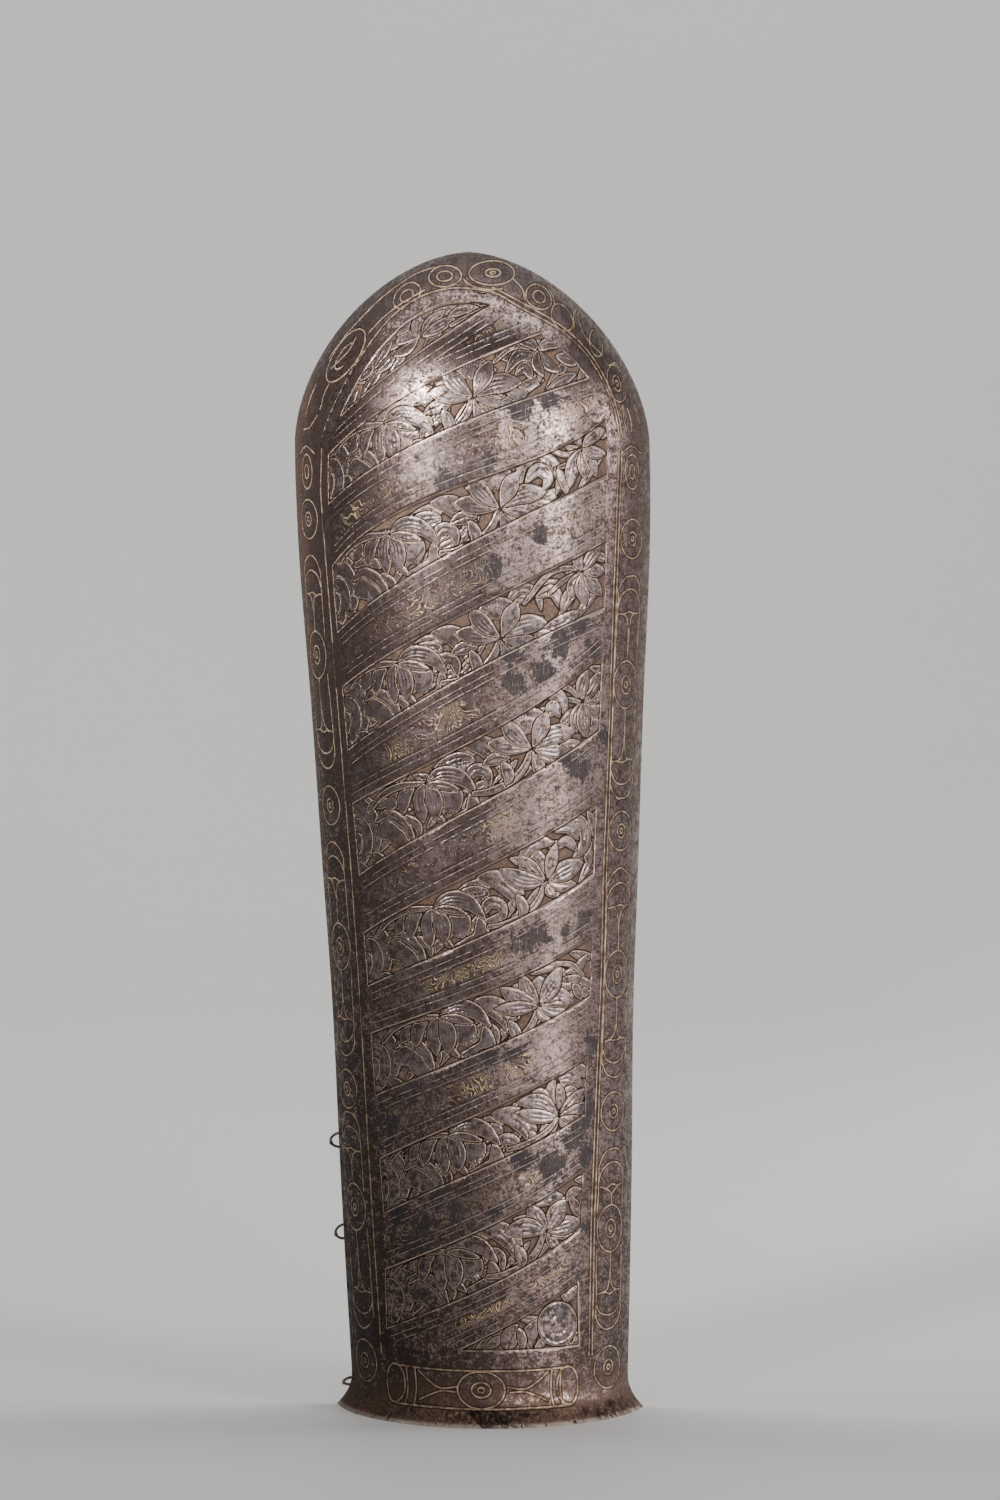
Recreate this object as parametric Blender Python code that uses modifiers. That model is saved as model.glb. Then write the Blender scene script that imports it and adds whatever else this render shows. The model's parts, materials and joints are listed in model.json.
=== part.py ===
"""Arm shield: one forged steel gutter for the forearm, standing on its out-turned wrist lip.

+Z runs from the wrist to the elbow, -Y is the ridge side and +Y the side the arm lies on.
Iron rings left from a mail sleeve hang in the holes along one edge. Units are metres.
"""
import math

import bmesh
import bpy
from mathutils import Matrix, Vector

# Plate
PLATE_HEIGHT = 0.340
SHOULDER_HEIGHT = 0.284          # the gutter ends here and the elbow dome begins
SHOULDER_HALF_WIDTH = 0.0521
PLATE_THICKNESS = 0.0014
RIM_ANGLE = math.radians(78.0)   # from the ridge round to the rim, in a level section
SIDEWAYS_LEAN = 0.0189           # run towards -X for each metre of height
GUTTER_HALF_WIDTHS = (           # (height, half width at the rim)
    (0.000, 0.0409),
    (0.007, 0.0409),
    (0.036, 0.0420),
    (0.071, 0.0432),
    (0.119, 0.0445),
    (0.160, 0.0466),
    (0.207, 0.0489),
    (0.248, 0.0514),
    (0.272, 0.0521),
    (0.284, 0.0521),
)

# Elbow dome: a spoon end whose width and depth close at different rates
DOME_WIDTH_ROUNDNESS = 1.16
DOME_HEIGHT_ROUNDNESS = 1.143
DOME_DEPTH_POWER = 3.0
DOME_LAST_TURN = math.radians(80.7)     # the last level section, just under the tip
TIP_RUN_BACK = Vector((0.0, 0.00457, 0.00204))  # carries the tip past the rim plane

# Wrist lip
LIP_HEIGHT = 0.010
LIP_FLARE = 0.0047               # how far the foot stands out from the gutter
LIP_POWER = 2.3
LIP_NICKS = (                    # (turn from the ridge, width, height)
    (math.radians(-38.0), 0.0007, 0.0024),
    (math.radians(-17.0), 0.0010, 0.0010),
    (math.radians(14.0), 0.0008, 0.0011),
    (math.radians(35.0), 0.0012, 0.0009),
)

# Holes for the mail low on the -X edge, and the rings left in three of them
HOLE_COUNT = 11
FIRST_HOLE_HEIGHT = 0.0083
HOLE_PITCH = 0.0091
HOLE_RADIUS = 0.0010
HOLE_EDGE_DISTANCE = 0.0030
RINGS = {                        # name: (hole counted from the lip, how far it leans back)
    "mail_ring_low": (0, math.radians(58.0)),  # held off by the lip
    "mail_ring_middle": (5, math.radians(38.0)),
    "mail_ring_high": (8, math.radians(38.0)),
}
RING_RADIUS = 0.0031             # to the middle of the wire
RING_WIRE_RADIUS = 0.0004

# Fineness of the facets
COLUMNS = 28
COLUMN_REACH = 1.05              # the sheet runs this far past the rim before it is cut
LIP_ROWS = (-0.0020, -0.0006, 0.0010, 0.0026, 0.0046, 0.0070, 0.0100)
GUTTER_ROWS = 27
DOME_ROWS = 10

# Cutting blocks, well clear of the plate on their far sides
BLOCK_SIZE = 0.5

STEEL_COLOUR = (0.30, 0.26, 0.235, 1.0)
RING_COLOUR = (0.09, 0.08, 0.075, 1.0)


def clear_scene():
    for old_object in list(bpy.data.objects):
        bpy.data.objects.remove(old_object, do_unlink=True)


def new_collection(name):
    collection = bpy.data.collections.new(name)
    bpy.context.scene.collection.children.link(collection)
    return collection


def new_material(name, colour, roughness, metallic):
    material = bpy.data.materials.new(name)
    material.use_nodes = True
    shader = material.node_tree.nodes["Principled BSDF"]
    shader.inputs["Base Color"].default_value = colour
    shader.inputs["Roughness"].default_value = roughness
    shader.inputs["Metallic"].default_value = metallic
    return material


def smooth_table(table, height):
    """A smooth curve through a table's rows, level at both ends."""
    last = len(table) - 1
    height = min(max(height, table[0][0]), table[last][0])
    row = max(i for i in range(last) if table[i][0] <= height)

    def slope(i):
        if i in (0, last):
            return 0.0
        return (table[i + 1][1] - table[i - 1][1]) / (table[i + 1][0] - table[i - 1][0])

    low, high = table[row], table[row + 1]
    step = high[0] - low[0]
    t = (height - low[0]) / step
    return (
        (2 * t**3 - 3 * t**2 + 1) * low[1]
        + (t**3 - 2 * t**2 + t) * step * slope(row)
        + (3 * t**2 - 2 * t**3) * high[1]
        + (t**3 - t**2) * step * slope(row + 1)
    )


def level_section(height):
    """Radius, half angle and centre of the arc that the plate's outside makes at a height."""
    depth_ratio = math.tan(RIM_ANGLE / 2)
    if height <= SHOULDER_HEIGHT:
        half_width = smooth_table(GUTTER_HALF_WIDTHS, height)
        depth = half_width * depth_ratio
    else:
        rise = (height - SHOULDER_HEIGHT) / (PLATE_HEIGHT - SHOULDER_HEIGHT)
        closing = 1 - rise ** (2 / DOME_HEIGHT_ROUNDNESS)
        half_width = SHOULDER_HALF_WIDTH * closing ** (DOME_WIDTH_ROUNDNESS / 2)
        depth = SHOULDER_HALF_WIDTH * depth_ratio * (1 - rise**DOME_DEPTH_POWER)
    half_angle = 2 * math.atan2(depth, half_width)
    radius = half_width / math.sin(half_angle)
    return radius, half_angle, radius * math.cos(half_angle)


def lip_offset(height):
    if height >= LIP_HEIGHT:
        return 0.0
    return LIP_FLARE * (1 - height / LIP_HEIGHT) ** LIP_POWER


def outward(turn):
    """Level direction square to the plate, at a turn from the ridge towards +X."""
    return Vector((math.sin(turn), -math.cos(turn), 0.0))


def surface_point(height, turn, inset=0.0):
    """A point of the plate's outside, or one inset towards the arm."""
    radius, _, centre = level_section(height)
    middle = Vector((-SIDEWAYS_LEAN * height, centre, height))
    return middle + outward(turn) * (radius + lip_offset(height) - inset)


def row_heights():
    heights = list(LIP_ROWS)
    gutter_length = SHOULDER_HEIGHT - LIP_HEIGHT
    heights += [LIP_HEIGHT + gutter_length * (i + 1) / GUTTER_ROWS for i in range(GUTTER_ROWS)]
    dome_height = PLATE_HEIGHT - SHOULDER_HEIGHT
    for i in range(DOME_ROWS):
        climb = math.sin(DOME_LAST_TURN * (i + 1) / DOME_ROWS)
        heights.append(SHOULDER_HEIGHT + dome_height * climb**DOME_HEIGHT_ROUNDNESS)
    return heights


def sheet_mesh():
    """The plate's outside as an open sheet that runs past the rim, the foot and the tip."""
    heights = row_heights()
    mesh = bpy.data.meshes.new("arm_plate")
    sheet = bmesh.new()
    bmesh.ops.create_grid(sheet, x_segments=COLUMNS, y_segments=len(heights), size=1.0)
    for vertex in sheet.verts:
        across = vertex.co.x * COLUMN_REACH
        row = round((vertex.co.y + 1) / 2 * len(heights))
        height = heights[min(row, len(heights) - 1)]
        _, half_angle, _ = level_section(height)
        vertex.co = surface_point(height, across * half_angle)
        if row == len(heights):
            vertex.co += TIP_RUN_BACK
    sheet.to_mesh(mesh)
    sheet.free()
    return mesh


def add_cutter(name, collection):
    """Registers the active primitive as a cutter."""
    cutter = bpy.context.active_object
    cutter.name = name
    for owner in list(cutter.users_collection):
        owner.objects.unlink(cutter)
    collection.objects.link(cutter)
    cutter.hide_render = True
    cutter.display_type = "WIRE"
    return cutter


def hole_frame(index):
    """Middle of a mail hole in the plate's thickness, and the turn of the normal there."""
    height = FIRST_HOLE_HEIGHT + HOLE_PITCH * index
    radius, half_angle, _ = level_section(height)
    turn = HOLE_EDGE_DISTANCE / radius - half_angle
    return surface_point(height, turn, inset=PLATE_THICKNESS / 2), turn


def make_cutters(collection):
    bpy.ops.mesh.primitive_cube_add(size=BLOCK_SIZE, location=(0, BLOCK_SIZE / 2, 0.2))
    add_cutter("rim_plane", collection)
    bpy.ops.mesh.primitive_cube_add(size=BLOCK_SIZE, location=(0, 0.11, -BLOCK_SIZE / 2))
    add_cutter("foot_plane", collection)
    for index in range(HOLE_COUNT):
        middle, turn = hole_frame(index)
        bpy.ops.mesh.primitive_cylinder_add(
            vertices=12,
            radius=HOLE_RADIUS,
            depth=6 * PLATE_THICKNESS,
            location=middle,
            rotation=outward(turn).to_track_quat("Z", "Y").to_euler(),
        )
        add_cutter(f"mail_hole_{index}", collection)
    for index, (turn, width, height) in enumerate(LIP_NICKS):
        foot = surface_point(0.0, turn)
        bpy.ops.mesh.primitive_cube_add(size=1.0, location=foot, rotation=(0, 0, turn))
        nick = add_cutter(f"lip_nick_{index}", collection)
        nick.scale = (width, 4 * PLATE_THICKNESS, 2 * height)


def make_plate(parts, cutters, material):
    plate = bpy.data.objects.new("arm_plate", sheet_mesh())
    plate.data.materials.append(material)
    parts.objects.link(plate)
    wall = plate.modifiers.new("wall", "SOLIDIFY")
    wall.thickness = PLATE_THICKNESS
    wall.offset = -1.0
    wall.use_even_offset = True
    wall.use_quality_normals = True
    cut = plate.modifiers.new("cuts", "BOOLEAN")
    cut.operation = "DIFFERENCE"
    cut.solver = "EXACT"
    cut.operand_type = "COLLECTION"
    cut.collection = cutters
    return plate


def make_ring(name, index, lean_back, parts, material):
    """A mail ring through a hole of the -X edge, hanging down and back past the rim."""
    middle, turn = hole_frame(index)
    normal = outward(turn)
    to_rim = normal.cross(Vector((0, 0, 1)))
    drop = to_rim * math.sin(lean_back) - Vector((0, 0, 1)) * math.cos(lean_back)
    bpy.ops.mesh.primitive_torus_add(
        major_segments=24,
        minor_segments=8,
        major_radius=RING_RADIUS,
        minor_radius=RING_WIRE_RADIUS,
    )
    ring = bpy.context.active_object
    ring.name = name
    ring.data.name = name
    for owner in list(ring.users_collection):
        owner.objects.unlink(ring)
    parts.objects.link(ring)
    turned = Matrix((normal, drop, normal.cross(drop))).transposed()
    ring.matrix_world = Matrix.Translation(middle + drop * RING_RADIUS) @ turned.to_4x4()
    ring.data.materials.append(material)
    ring.data.shade_smooth()
    return ring


def stand_over_origin(pieces, parts, cutters):
    """Parents pieces and cutters to one empty and moves it, so that the box is centred on Z."""
    bpy.context.view_layer.update()
    shown = bpy.context.evaluated_depsgraph_get()
    corners = []
    for piece in pieces:
        evaluated = piece.evaluated_get(shown)
        corners += [evaluated.matrix_world @ vertex.co for vertex in evaluated.data.vertices]
    stand = bpy.data.objects.new("arm_shield_origin", None)
    parts.objects.link(stand)
    for child in pieces + list(cutters.objects):
        child.parent = stand
    for axis in (0, 1):
        values = [corner[axis] for corner in corners]
        stand.location[axis] = -(min(values) + max(values)) / 2


def build():
    clear_scene()
    parts = new_collection("arm_shield")
    cutters = new_collection("cutters")
    steel = new_material("patinated_steel", STEEL_COLOUR, 0.42, 1.0)
    iron = new_material("mail_iron", RING_COLOUR, 0.45, 1.0)
    make_cutters(cutters)
    pieces = [make_plate(parts, cutters, steel)]
    for name, (index, lean_back) in RINGS.items():
        pieces.append(make_ring(name, index, lean_back, parts, iron))
    stand_over_origin(pieces, parts, cutters)


build()
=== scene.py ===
import json
import math
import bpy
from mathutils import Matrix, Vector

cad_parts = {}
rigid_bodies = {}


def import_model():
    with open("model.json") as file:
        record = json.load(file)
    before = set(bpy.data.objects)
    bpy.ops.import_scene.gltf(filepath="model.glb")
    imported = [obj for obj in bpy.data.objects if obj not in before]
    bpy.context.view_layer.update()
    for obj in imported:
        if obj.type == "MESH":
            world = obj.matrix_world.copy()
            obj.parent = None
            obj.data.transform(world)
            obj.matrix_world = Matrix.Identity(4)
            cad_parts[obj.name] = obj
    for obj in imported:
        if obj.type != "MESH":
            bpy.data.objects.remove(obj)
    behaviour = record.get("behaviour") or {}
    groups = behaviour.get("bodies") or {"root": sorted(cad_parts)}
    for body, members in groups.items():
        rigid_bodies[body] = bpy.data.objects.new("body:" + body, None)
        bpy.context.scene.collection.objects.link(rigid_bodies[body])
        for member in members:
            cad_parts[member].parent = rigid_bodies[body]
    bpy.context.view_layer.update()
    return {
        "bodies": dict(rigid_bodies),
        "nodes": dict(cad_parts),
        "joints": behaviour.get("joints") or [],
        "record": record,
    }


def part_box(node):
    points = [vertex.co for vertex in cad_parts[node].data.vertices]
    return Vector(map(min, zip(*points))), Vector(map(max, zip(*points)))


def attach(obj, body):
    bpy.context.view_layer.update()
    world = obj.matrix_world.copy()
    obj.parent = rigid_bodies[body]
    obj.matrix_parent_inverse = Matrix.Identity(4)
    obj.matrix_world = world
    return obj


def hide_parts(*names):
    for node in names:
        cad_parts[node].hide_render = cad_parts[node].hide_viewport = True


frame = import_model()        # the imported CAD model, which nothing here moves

from types import SimpleNamespace

import bmesh
import bpy
import numpy as np
from mathutils import Matrix, Vector

# Everything on the plate is placed by two lengths: across, along a level section from the
# ridge towards the viewer's right, and height above the foot of the lip.
plateShape = {
    "height": 0.340,
    "shoulder": 0.284,                 # the gutter ends here and the elbow dome begins
    "thickness": 0.0014,
    "rimAngle": math.radians(78.0),    # from the ridge round to the rim
    "lean": 0.0189,                    # run towards -X for each metre of height
    "stations": (0.000, 0.007, 0.036, 0.071, 0.119, 0.160, 0.207, 0.248, 0.272, 0.284),
    "halfWidths": (0.0409, 0.0409, 0.0420, 0.0432, 0.0445, 0.0466, 0.0489, 0.0514, 0.0521, 0.0521),
    "domeWidthRoundness": 1.16,
    "domeHeightRoundness": 1.143,
    "domeDepthPower": 3.0,
    "lipHeight": 0.010,
    "lipFlare": 0.0047,
    "lipPower": 2.3,
}


def smoothTable(stations, values, at):
    # cubic through the stations, level at both ends
    stations, values = np.array(stations), np.array(values)
    slopes = np.zeros(len(values))
    slopes[1:-1] = (values[2:] - values[:-2]) / (stations[2:] - stations[:-2])
    at = np.clip(at, stations[0], stations[-1])
    low = np.clip(np.searchsorted(stations, at, side="right") - 1, 0, len(stations) - 2)
    step = stations[low + 1] - stations[low]
    t = (at - stations[low]) / step
    return (
        (2 * t**3 - 3 * t**2 + 1) * values[low]
        + (t**3 - 2 * t**2 + t) * step * slopes[low]
        + (3 * t**2 - 2 * t**3) * values[low + 1]
        + (t**3 - t**2) * step * slopes[low + 1]
    )


def levelSection(height):
    # radius, half angle and centre of the arc that the outside makes at a height
    shape = plateShape
    depthRatio = math.tan(shape["rimAngle"] / 2)
    gutterWidth = smoothTable(shape["stations"], shape["halfWidths"], height)
    rise = np.clip((height - shape["shoulder"]) / (shape["height"] - shape["shoulder"]), 0, 1)
    closing = np.clip(1 - rise ** (2 / shape["domeHeightRoundness"]), 1e-9, 1)
    halfWidth = gutterWidth * closing ** (shape["domeWidthRoundness"] / 2)
    depth = gutterWidth * depthRatio * np.clip(1 - rise ** shape["domeDepthPower"], 1e-9, 1)
    halfAngle = 2 * np.arctan2(depth, halfWidth)
    radius = halfWidth / np.sin(halfAngle)
    return radius, halfAngle, radius * np.cos(halfAngle)


def leanedMinimum():
    heights = np.linspace(0, plateShape["height"], 2000)
    radius, halfAngle, _ = levelSection(heights)
    return float((-plateShape["lean"] * heights - radius * np.sin(halfAngle)).min())


plateLow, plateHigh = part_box("arm_plate")
plateOrigin = Vector((plateLow.x - leanedMinimum(), plateHigh.y, plateLow.z))


def rawSpot(across, height):
    shape = plateShape
    radius, _, centre = levelSection(height)
    flare = shape["lipFlare"] * np.clip(1 - height / shape["lipHeight"], 0, 2) ** shape["lipPower"]
    turn = across / radius
    reach = radius + flare
    return np.stack((
        plateOrigin.x - shape["lean"] * height + reach * np.sin(turn),
        plateOrigin.y + centre - reach * np.cos(turn),
        plateOrigin.z + height,
    ), axis=-1)


def plateNormal(across, height):
    # the fraction of the half arc is held, so that the difference follows the surface
    step = 2e-5
    height = np.minimum(height, plateShape["height"] - 4 * step)
    radius, halfAngle, _ = levelSection(height)
    fraction = across / (radius * halfAngle)
    ends = []
    for level in (height - step, height + step):
        levelRadius, levelAngle, _ = levelSection(level)
        ends.append(rawSpot(fraction * levelRadius * levelAngle, level))
    sideways = rawSpot(across + step, height) - rawSpot(across - step, height)
    normal = np.cross(sideways, ends[1] - ends[0])
    return normal / np.maximum(np.linalg.norm(normal, axis=-1, keepdims=True), 1e-12)


def plateSpot(across, height, lift=0.0):
    # a point of the plate's outside, lifted square to it
    spot = rawSpot(across, height)
    return spot + plateNormal(across, height) * np.asarray(lift)[..., None]


def developed(spots):
    # across and height of points near the plate
    height = spots[:, 2] - plateOrigin.z
    safe = np.clip(height, 0, plateShape["height"] - 1e-4)
    radius, _, centre = levelSection(safe)
    sideways = spots[:, 0] - plateOrigin.x + plateShape["lean"] * height
    turn = np.arctan2(sideways, centre - (spots[:, 1] - plateOrigin.y))
    return turn * radius, height


def vertexArray(mesh):
    spots = np.empty(len(mesh.vertices) * 3)
    mesh.vertices.foreach_get("co", spots)
    return spots.reshape(-1, 3)


def writeVertices(mesh, spots):
    mesh.vertices.foreach_set("co", np.ascontiguousarray(spots).ravel())
    mesh.update()


def newPiece(name, mesh, materials):
    piece = bpy.data.objects.new(name, mesh)
    bpy.context.scene.collection.objects.link(piece)
    for material in materials:
        mesh.materials.append(material)
    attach(piece, "root")
    return piece


# The ornament is charted in millimetres of across and height, and carved as heights over
# fine grids. Later strokes lie over earlier ones, with a cut round each.
cutting = {
    "ground": -0.36,                   # all in millimetres from the plate's own surface
    "leafTop": -0.03,
    "leafRound": 0.03,                 # how far a leaf falls from its middle to its sides
    "leafPower": 0.72,                 # under 1, so that a leaf stays full towards its ends
    "outline": 0.28,
    "outlineDepth": -0.23,
    "wall": 0.14,                      # half width of a sloping wall
    "vein": 0.27,
    "veinDepth": 0.15,
    "veinSpread": 0.86,                # share of the half width that the outer veins reach
    "crisp": 33.0,                     # degrees between faces from which an edge shades sharp
    "bandFlush": 0.012,
    "borderFlush": 0.02,
    "skirt": -0.30,
    "margin": 2.0,                     # plain rim of a carved panel, over the plate's recess
    "bed": 0.00075,                    # metres that the plate is sunk under a panel
    "noLine": 3.0,                     # distances written where no brass line or leaf is near
    "noLeaf": 9.0,
}


def soften(value, low, high):
    t = np.clip((value - low) / (high - low), 0, 1)
    return t * t * (3 - 2 * t)


def smoothPath(points, count=26):
    # a curve through the points, with the tangents of its neighbours
    points = np.array(points, float)
    if len(points) == 2:
        return points[0] + (points[1] - points[0]) * np.linspace(0, 1, count)[:, None]
    padded = np.vstack((2 * points[0] - points[1], points, 2 * points[-1] - points[-2]))
    place = np.linspace(0, len(points) - 1 - 1e-9, count)
    low = place.astype(int)
    t = (place - low)[:, None]
    a, b, c, d = (padded[low + step] for step in range(4))
    bend = 2 * a - 5 * b + 4 * c - d
    return 0.5 * (2 * b + (c - a) * t + bend * t**2 + (3 * b - a - 3 * c + d) * t**3)


def ringPath(centre, across, tall, turn=0.0, first=0.0, last=360.0):
    # an ellipse or a part of one, by its half axes, its tilt and the degrees it runs over
    angles = np.radians(np.linspace(first, last, max(8, int(abs(last - first) / 9))))
    u, v = across * np.cos(angles), tall * np.sin(angles)
    c, s = math.cos(math.radians(turn)), math.sin(math.radians(turn))
    return np.stack((centre[0] + c * u - s * v, centre[1] + s * u + c * v), axis=-1)


class Relief:
    # lift of every point, how far the nearest brass line is, and how far inside a leaf's edge it is
    def __init__(self, across, height, level):
        self.across, self.height = across, height
        self.lift = np.full(across.shape, float(level))
        self.line = np.full(across.shape, cutting["noLine"])
        self.edge = np.full(across.shape, -3.0)

    def along(self, path, reach):
        # points near a path: which, place along it, signed side, distance, the path's length
        low, high = path.min(0) - reach, path.max(0) + reach
        beside = (self.across > low[0]) & (self.across < high[0])
        near = np.flatnonzero(beside & (self.height > low[1]) & (self.height < high[1]))
        spots = np.stack((self.across[near], self.height[near]), -1)
        lengths = np.linalg.norm(np.diff(path, axis=0), axis=1)
        starts = np.concatenate(([0], np.cumsum(lengths)))
        off = np.full(len(near), 1e9)
        place, side = np.zeros(len(near)), np.zeros(len(near))
        for index, length in enumerate(lengths):
            if length < 1e-9:
                continue
            aim = (path[index + 1] - path[index]) / length
            step = spots - path[index]
            travel = np.clip(step @ aim, 0, length)
            gap = np.hypot(*(step - travel[:, None] * aim).T)
            closer = gap < off
            off[closer] = gap[closer]
            place[closer] = (starts[index] + travel[closer]) / starts[-1]
            side[closer] = np.sign(aim[0] * step[closer, 1] - aim[1] * step[closer, 0]) * gap[closer]
        return near, place, side, off, starts[-1]

    def lay(self, near, inside, fresh, clear):
        # puts a form over what is there, with a cut round it
        old = self.lift[near]
        rim = soften(inside, -cutting["outline"] - 0.12, clear)
        old = old + (np.minimum(old, cutting["outlineDepth"]) - old) * rim
        body = soften(inside, -cutting["wall"], cutting["wall"])
        self.lift[near] = old + (fresh - old) * body
        edge = self.edge[near]
        under = np.minimum(edge, np.where(inside > -0.45, inside, -inside - 0.4))
        self.edge[near] = np.where(inside > 0, inside, np.where(edge > 0, under, np.maximum(edge, inside)))

    def leaf(self, points, width, veins=3, fullest=0.5, top=None, reach=0.6):
        near, place, side, off, _ = self.along(smoothPath(points), width / 2 + 1)
        power = math.log(0.5) / math.log(fullest)
        swell = np.sin(math.pi * np.clip(place, 1e-4, 1 - 1e-4) ** power)
        half = width / 2 * swell ** cutting["leafPower"]
        top = cutting["leafTop"] if top is None else top
        fresh = top - cutting["leafRound"] * np.clip(off / np.maximum(half, 0.2), 0, 1) ** 2
        for index in range(veins):
            lane = (2 * (index + 1) / (veins + 1) - 1) * cutting["veinSpread"]
            ending = soften(place, reach - 0.16 * abs(lane), reach + 0.10)
            fade = soften(place, 0.02, 0.10) * (1 - ending)
            groove = 1 - soften(np.abs(side - lane * half), 0, cutting["vein"])
            fresh = fresh - cutting["veinDepth"] * fade * groove
        self.lay(near, half - off, fresh, -cutting["outline"] + 0.1)

    def stem(self, points, width):
        near, place, _, off, _ = self.along(smoothPath(points), width / 2 + 1)
        half = width / 2 * (0.55 + 0.45 * np.sin(math.pi * np.clip(place * 0.9 + 0.05, 0, 1)))
        fresh = cutting["leafTop"] - 0.03 - 0.13 * (1 - soften(off, 0, 0.26))
        self.lay(near, half - off, fresh, 0.0)

    def disc(self, centre, radius, ring):
        # a round boss with one groove
        spots = np.hypot(self.across - centre[0], self.height - centre[1])
        near = np.flatnonzero(spots < radius + 1)
        groove = np.minimum(np.abs(spots[near] - ring), np.abs(spots[near] - radius + 1.3))
        fresh = cutting["leafTop"] - 0.06 - cutting["veinDepth"] * (1 - soften(groove, 0.1, 0.45))
        self.lay(near, radius - spots[near], fresh, 0.0)

    def strokes(self, table, at=(0.0, 0.0)):
        # rows of width, kind, path and other settings; a leaf's kind is its number of veins
        for width, kind, points, *others in table:
            path = np.array(points, float) + at
            settings = others[0] if others else {}
            if kind == "stem":
                self.stem(path, width)
            elif kind == "hatch":
                self.hatch(path, width, **settings)
            else:
                self.leaf(path, width, kind, **settings)

    def trace(self, points, width=0.30, depth=0.10):
        # an engraved line inlaid with brass
        near, _, _, off, _ = self.along(smoothPath(points, max(10, 4 * len(points))), 1.2)
        self.lift[near] -= depth * (1 - soften(off, width * 0.25, width))
        self.line[near] = np.minimum(self.line[near], off)

    def hatch(self, points, width, spacing, depth=0.16):
        # short strokes across a path
        near, place, _, off, length = self.along(smoothPath(points), width)
        wave = np.abs((place * length / spacing) % 1 - 0.5) * 2
        inside = soften(width / 2 - off, -0.1, 0.15) * soften(place, 0, 0.03)
        inside = inside * (1 - soften(place, 0.97, 1))
        self.lift[near] -= depth * inside * (1 - soften(wave, 0.15, 0.75))

    def smooth(self):
        # plain steel with no leaves, ready for inlaid lines
        self.lift[:] = 0.0
        self.edge[:] = cutting["noLeaf"]


# The strokes of the ornament: width, kind, path and other settings. The shared motifs are charted
# from the heart of their flower unless a note says otherwise.
lotusStem = (
    (2.1, "stem", ((-17.2, -12.9), (-12.5, -12.2), (-6.5, -9.5), (-2.6, -5.5), (-0.3, -0.5))),
    (3.2, 1, ((-8, -10.6), (-7.2, -7.6), (-9, -3.6))),
)

uprightLotus = (
    (3.6, 1, ((-14.5, -4.6), (-11, -3), (-6.6, -2.2))),
    *lotusStem,
    (3.8, 2, ((0.2, -0.6), (1.8, -4.5), (1.4, -9))),
    (2.8, 1, ((0.4, -0.4), (4.4, -2.6), (8.2, -5.4))),
    (6.4, 0, ((-4.8, 3), (-3.6, 7.4), (-0.4, 8.4), (2.6, 7.2), (3.6, 3)), {"top": -0.10}),
    (1.7, "hatch", ((-5.6, 6.3), (-3.4, 8.8), (-0.2, 9.5), (2.4, 8.8)), {"spacing": 0.8}),
    (3.4, 1, ((9.6, 1.6), (12.4, 0.6), (15.6, 1.4))),
    (4, 2, ((0.3, -0.1), (5.5, -0.8), (12, -1.7))),
    (2.2, "hatch", ((8, 1), (9.2, -0.8), (10.2, -2.8)), {"spacing": 0.8}),
    (5.2, 3, ((-0.5, -0.2), (-6, 0.6), (-13, 1.4)), {"fullest": 0.56}),
    (5.4, 3, ((0.4, 0.2), (6, 3.6), (13.8, 4.4)), {"fullest": 0.56}),
    (5, 3, ((-0.4, 0.2), (-4.4, 3.2), (-8.8, 8)), {"fullest": 0.58}),
    (4.8, 3, ((0.2, 0.3), (2.2, 4.6), (4.8, 10.2)), {"fullest": 0.58}),
)

droopingLotus = (
    (3, 1, ((-5.4, 2.2), (-9.6, 0.8), (-13.6, -1.6))),
    (4, 2, ((-4.4, -3.2), (-9.4, -4.8), (-12.6, -8.6))),
    (4, 2, ((-3.6, -1.6), (-6.6, -4), (-7.6, -9.4))),
    (1.9, "stem", ((-19, -8.6), (-14.5, -4.2), (-8, -1.2), (-0.5, -0.2))),
    (5, 1, ((5.2, -11.6), (9.6, -11), (13.8, -8.6), (13.4, -2.2))),
    (9, 0, ((1.6, -1), (6.4, -4), (8.8, -8.6)), {"top": -0.10}),
    (1.9, "hatch", ((4.4, -8.8), (8.8, -7.6), (11.6, -4.2)), {"spacing": 0.85}),
    (4.2, 2, ((-0.4, -0.4), (-1.8, -4.4), (-1, -11.6))),
    (2.2, 0, ((0.6, -7.2), (3, -9.4), (6, -12))),
    (5, 3, ((0.2, -0.4), (2.3, -4.2), (2.8, -10.8))),
    (4.8, 3, ((0.4, 0), (5, 2.4), (10.4, 1.6), (15.2, -3)), {"fullest": 0.42, "reach": 0.55}),
    (2.4, 1, ((0.3, -0.3), (5, -0.6), (10, -1.8))),
)

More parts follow.
